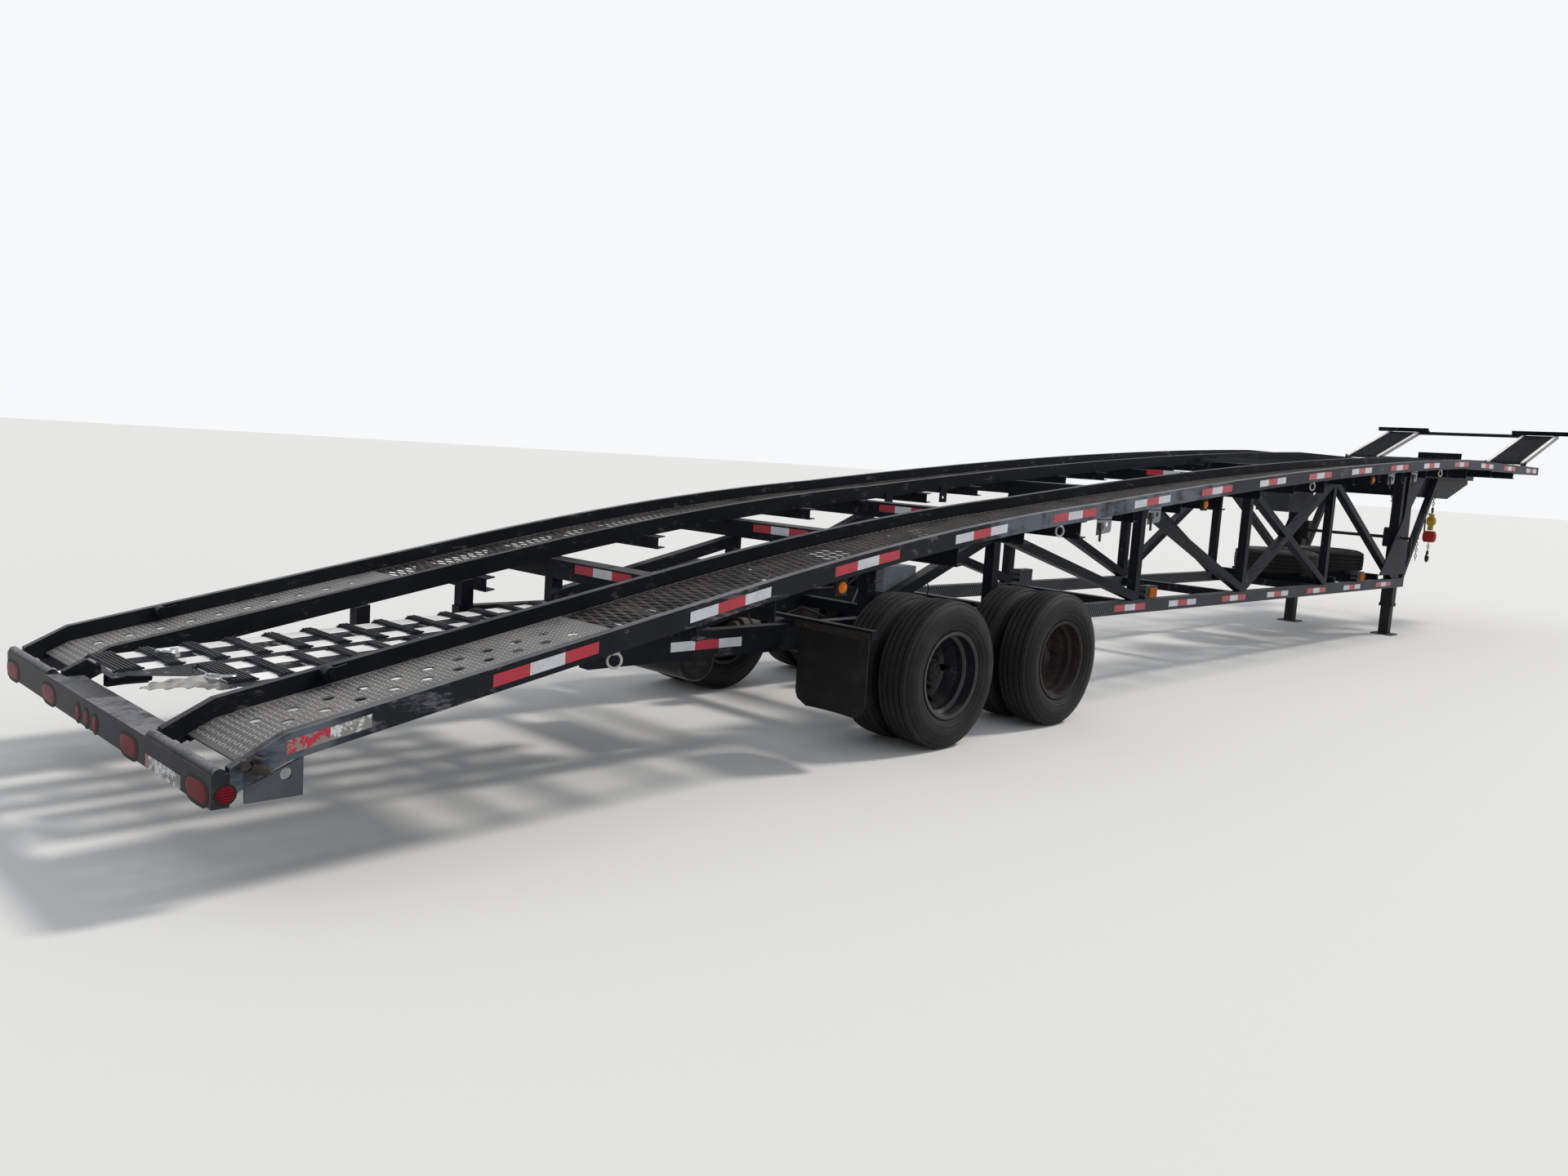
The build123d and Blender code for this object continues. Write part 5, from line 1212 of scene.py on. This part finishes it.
# Running gear: brake chambers on the axles, air lines, lamp leads
runningGear = {
    "chamberY": 0.400, "chamber": 0.082, "chamberLong": 0.150, "band": (0.44, 0.56, 1.10), "cap": (0.045, 0.72),
    "behind": 0.21, "above": 0.045, "air": 0.008, "lead": 0.005, "leadY": 1.236,
    "leadEnds": ((0.02, 0, 0), (0.10, 0.01, 0.012), (0.17, 0.02, 0.045)), "leadTop": (0.30, 0.01, 0.006),
    "coils": ((4.62, -0.60, 0.86), (4.30, 0.50, 0.80)), "coil": 0.070, "coilWire": 0.0045,
}


def makeRunningGear():
    look = runningGear
    iron, hose = newMeshes(2)
    radius = look["chamber"]
    for axle in ("rear", "front"):
        x, z = middleOf(axle + "_axle").x, middleOf(axle + "_right_tyres").z
        for side in sides:
            y = side * look["chamberY"]
            back = Vector((x - look["behind"], y, z + look["above"]))
            front = back + Vector((look["chamberLong"], 0, 0))
            start, end, wider = look["band"]
            long, narrower = look["cap"]
            addRod(iron, back, front, radius, 28)
            addRod(iron, back.lerp(front, start), back.lerp(front, end), radius * wider, 28)
            addRod(iron, back - Vector((long, 0, 0)), back, radius * narrower, 28)
            addRod(iron, front, front + Vector((0.05, 0, 0)), 0.010, 10)
            addBlock(iron, (front.x - 0.004, y - 0.05, z - 0.02), (front.x + 0.012, y + 0.05, z + 0.10))
            addBlock(iron, (front.x - 0.004, y - 0.03, z - 0.02), (x, y + 0.03, z + 0.02))
            addBent(hose, [back + Vector((0.04, 0, radius)), back + Vector((0.01, -side * 0.03, 0.19)),
                           back + Vector((-0.12, -side * 0.10, 0.25)), Vector((x - 0.50, side * 0.20, z + 0.21))],
                    look["air"])
    for side in sides:
        y = side * look["leadY"]
        for station in lamps["markers"]:
            z = railTop(station) - lamps["markerBelow"]
            ahead, inward, below = look["leadTop"]
            points = [at(station + dx, y - side * dy, z + dz) for dx, dy, dz in look["leadEnds"]]
            end = at(station + ahead, y - side * inward, railBottom(station + ahead) - below)
            addBent(hose, [*points, end], look["lead"])
    for spot in look["coils"]:
        addRing(hose, at(*spot), (0.4, 1, 0), look["coil"], look["coilWire"], 0.01, (1, 0, 0.3), steps=28)
    addPiece("brakeChambers", "axle_iron", iron, close=True)
    addPiece("airLines", "cable_black", hose, close=True)


makeRunningGear()
print("running gear made")


# Mud flaps: bowed sheets with round lower corners, clamped under a bar by a row of bolts
mudFlaps = {
    "inner": 0.730, "outer": 1.247, "low": 0.270, "high": 0.742, "corner": 0.085, "thick": 0.008, "bow": 0.016,
    "rows": 14, "columns": 12, "bar": 0.005, "bolts": 5, "bolt": 0.008, "boltIn": 0.05,
}


def makeMudFlaps():
    look = mudFlaps
    sheets, clamps = newMeshes(2)
    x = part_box("mud_flaps")[0].x
    middle, half = (look["inner"] + look["outer"]) / 2, (look["outer"] - look["inner"]) / 2
    low, high, corner = look["low"], look["high"], look["corner"]
    for side in sides:
        rows = []
        for k in range(look["rows"] + 1):
            t = k / look["rows"]
            z = low + (high - low) * t
            above = min(corner, z - low)
            reach = half - corner + math.sqrt(corner ** 2 - (corner - above) ** 2)
            row = []
            for j in range(look["columns"] + 1):
                u = 2 * j / look["columns"] - 1
                row.append((x + look["bow"] * (1 - t) ** 2 * (1 - u * u), side * (middle + u * reach), z))
            rows.append(row)
        addSheet(sheets, rows)
        inner, outer = span(side, look["inner"] - 0.03, look["outer"] + 0.006)
        addBlock(clamps, (x - look["bar"], inner, high - 0.036), (x, outer, high + 0.004))
        for k in range(look["bolts"]):
            y = side * (look["inner"] + look["boltIn"] + k * (2 * half - 2 * look["boltIn"]) / (look["bolts"] - 1))
            addRod(clamps, (x - 0.011, y, high - 0.016), (x, y, high - 0.016), look["bolt"], 6)
    thicken(sheets, look["thick"])
    addPiece("flapSheets", "flap_rubber", sheets, ["mud_flaps"], smooth=40, close=True)
    addPiece("flapClamps", "axle_iron", clamps, close=True)


makeMudFlaps()
print("mud flaps made")


# Deck bearers as modelled, but for the rearmost pair, which ends short of the outer rails
deckBearers = {"reach": 1.0, "rearmost": 1.0}


def makeDeckBearers():
    node, reach = frame["nodes"]["deck_bearers"], deckBearers["reach"]
    bm = bmesh.new()
    bm.from_mesh(node.data)
    bmesh.ops.transform(bm, matrix=node.matrix_world, verts=bm.verts)
    for v in bm.verts:
        if v.co.x < rearEnd + deckBearers["rearmost"]:
            v.co.y = max(-reach, min(reach, v.co.y))
    addPiece("deckBearers", "frame_black", bm, ["deck_bearers"])


makeDeckBearers()
print("deck bearers made")
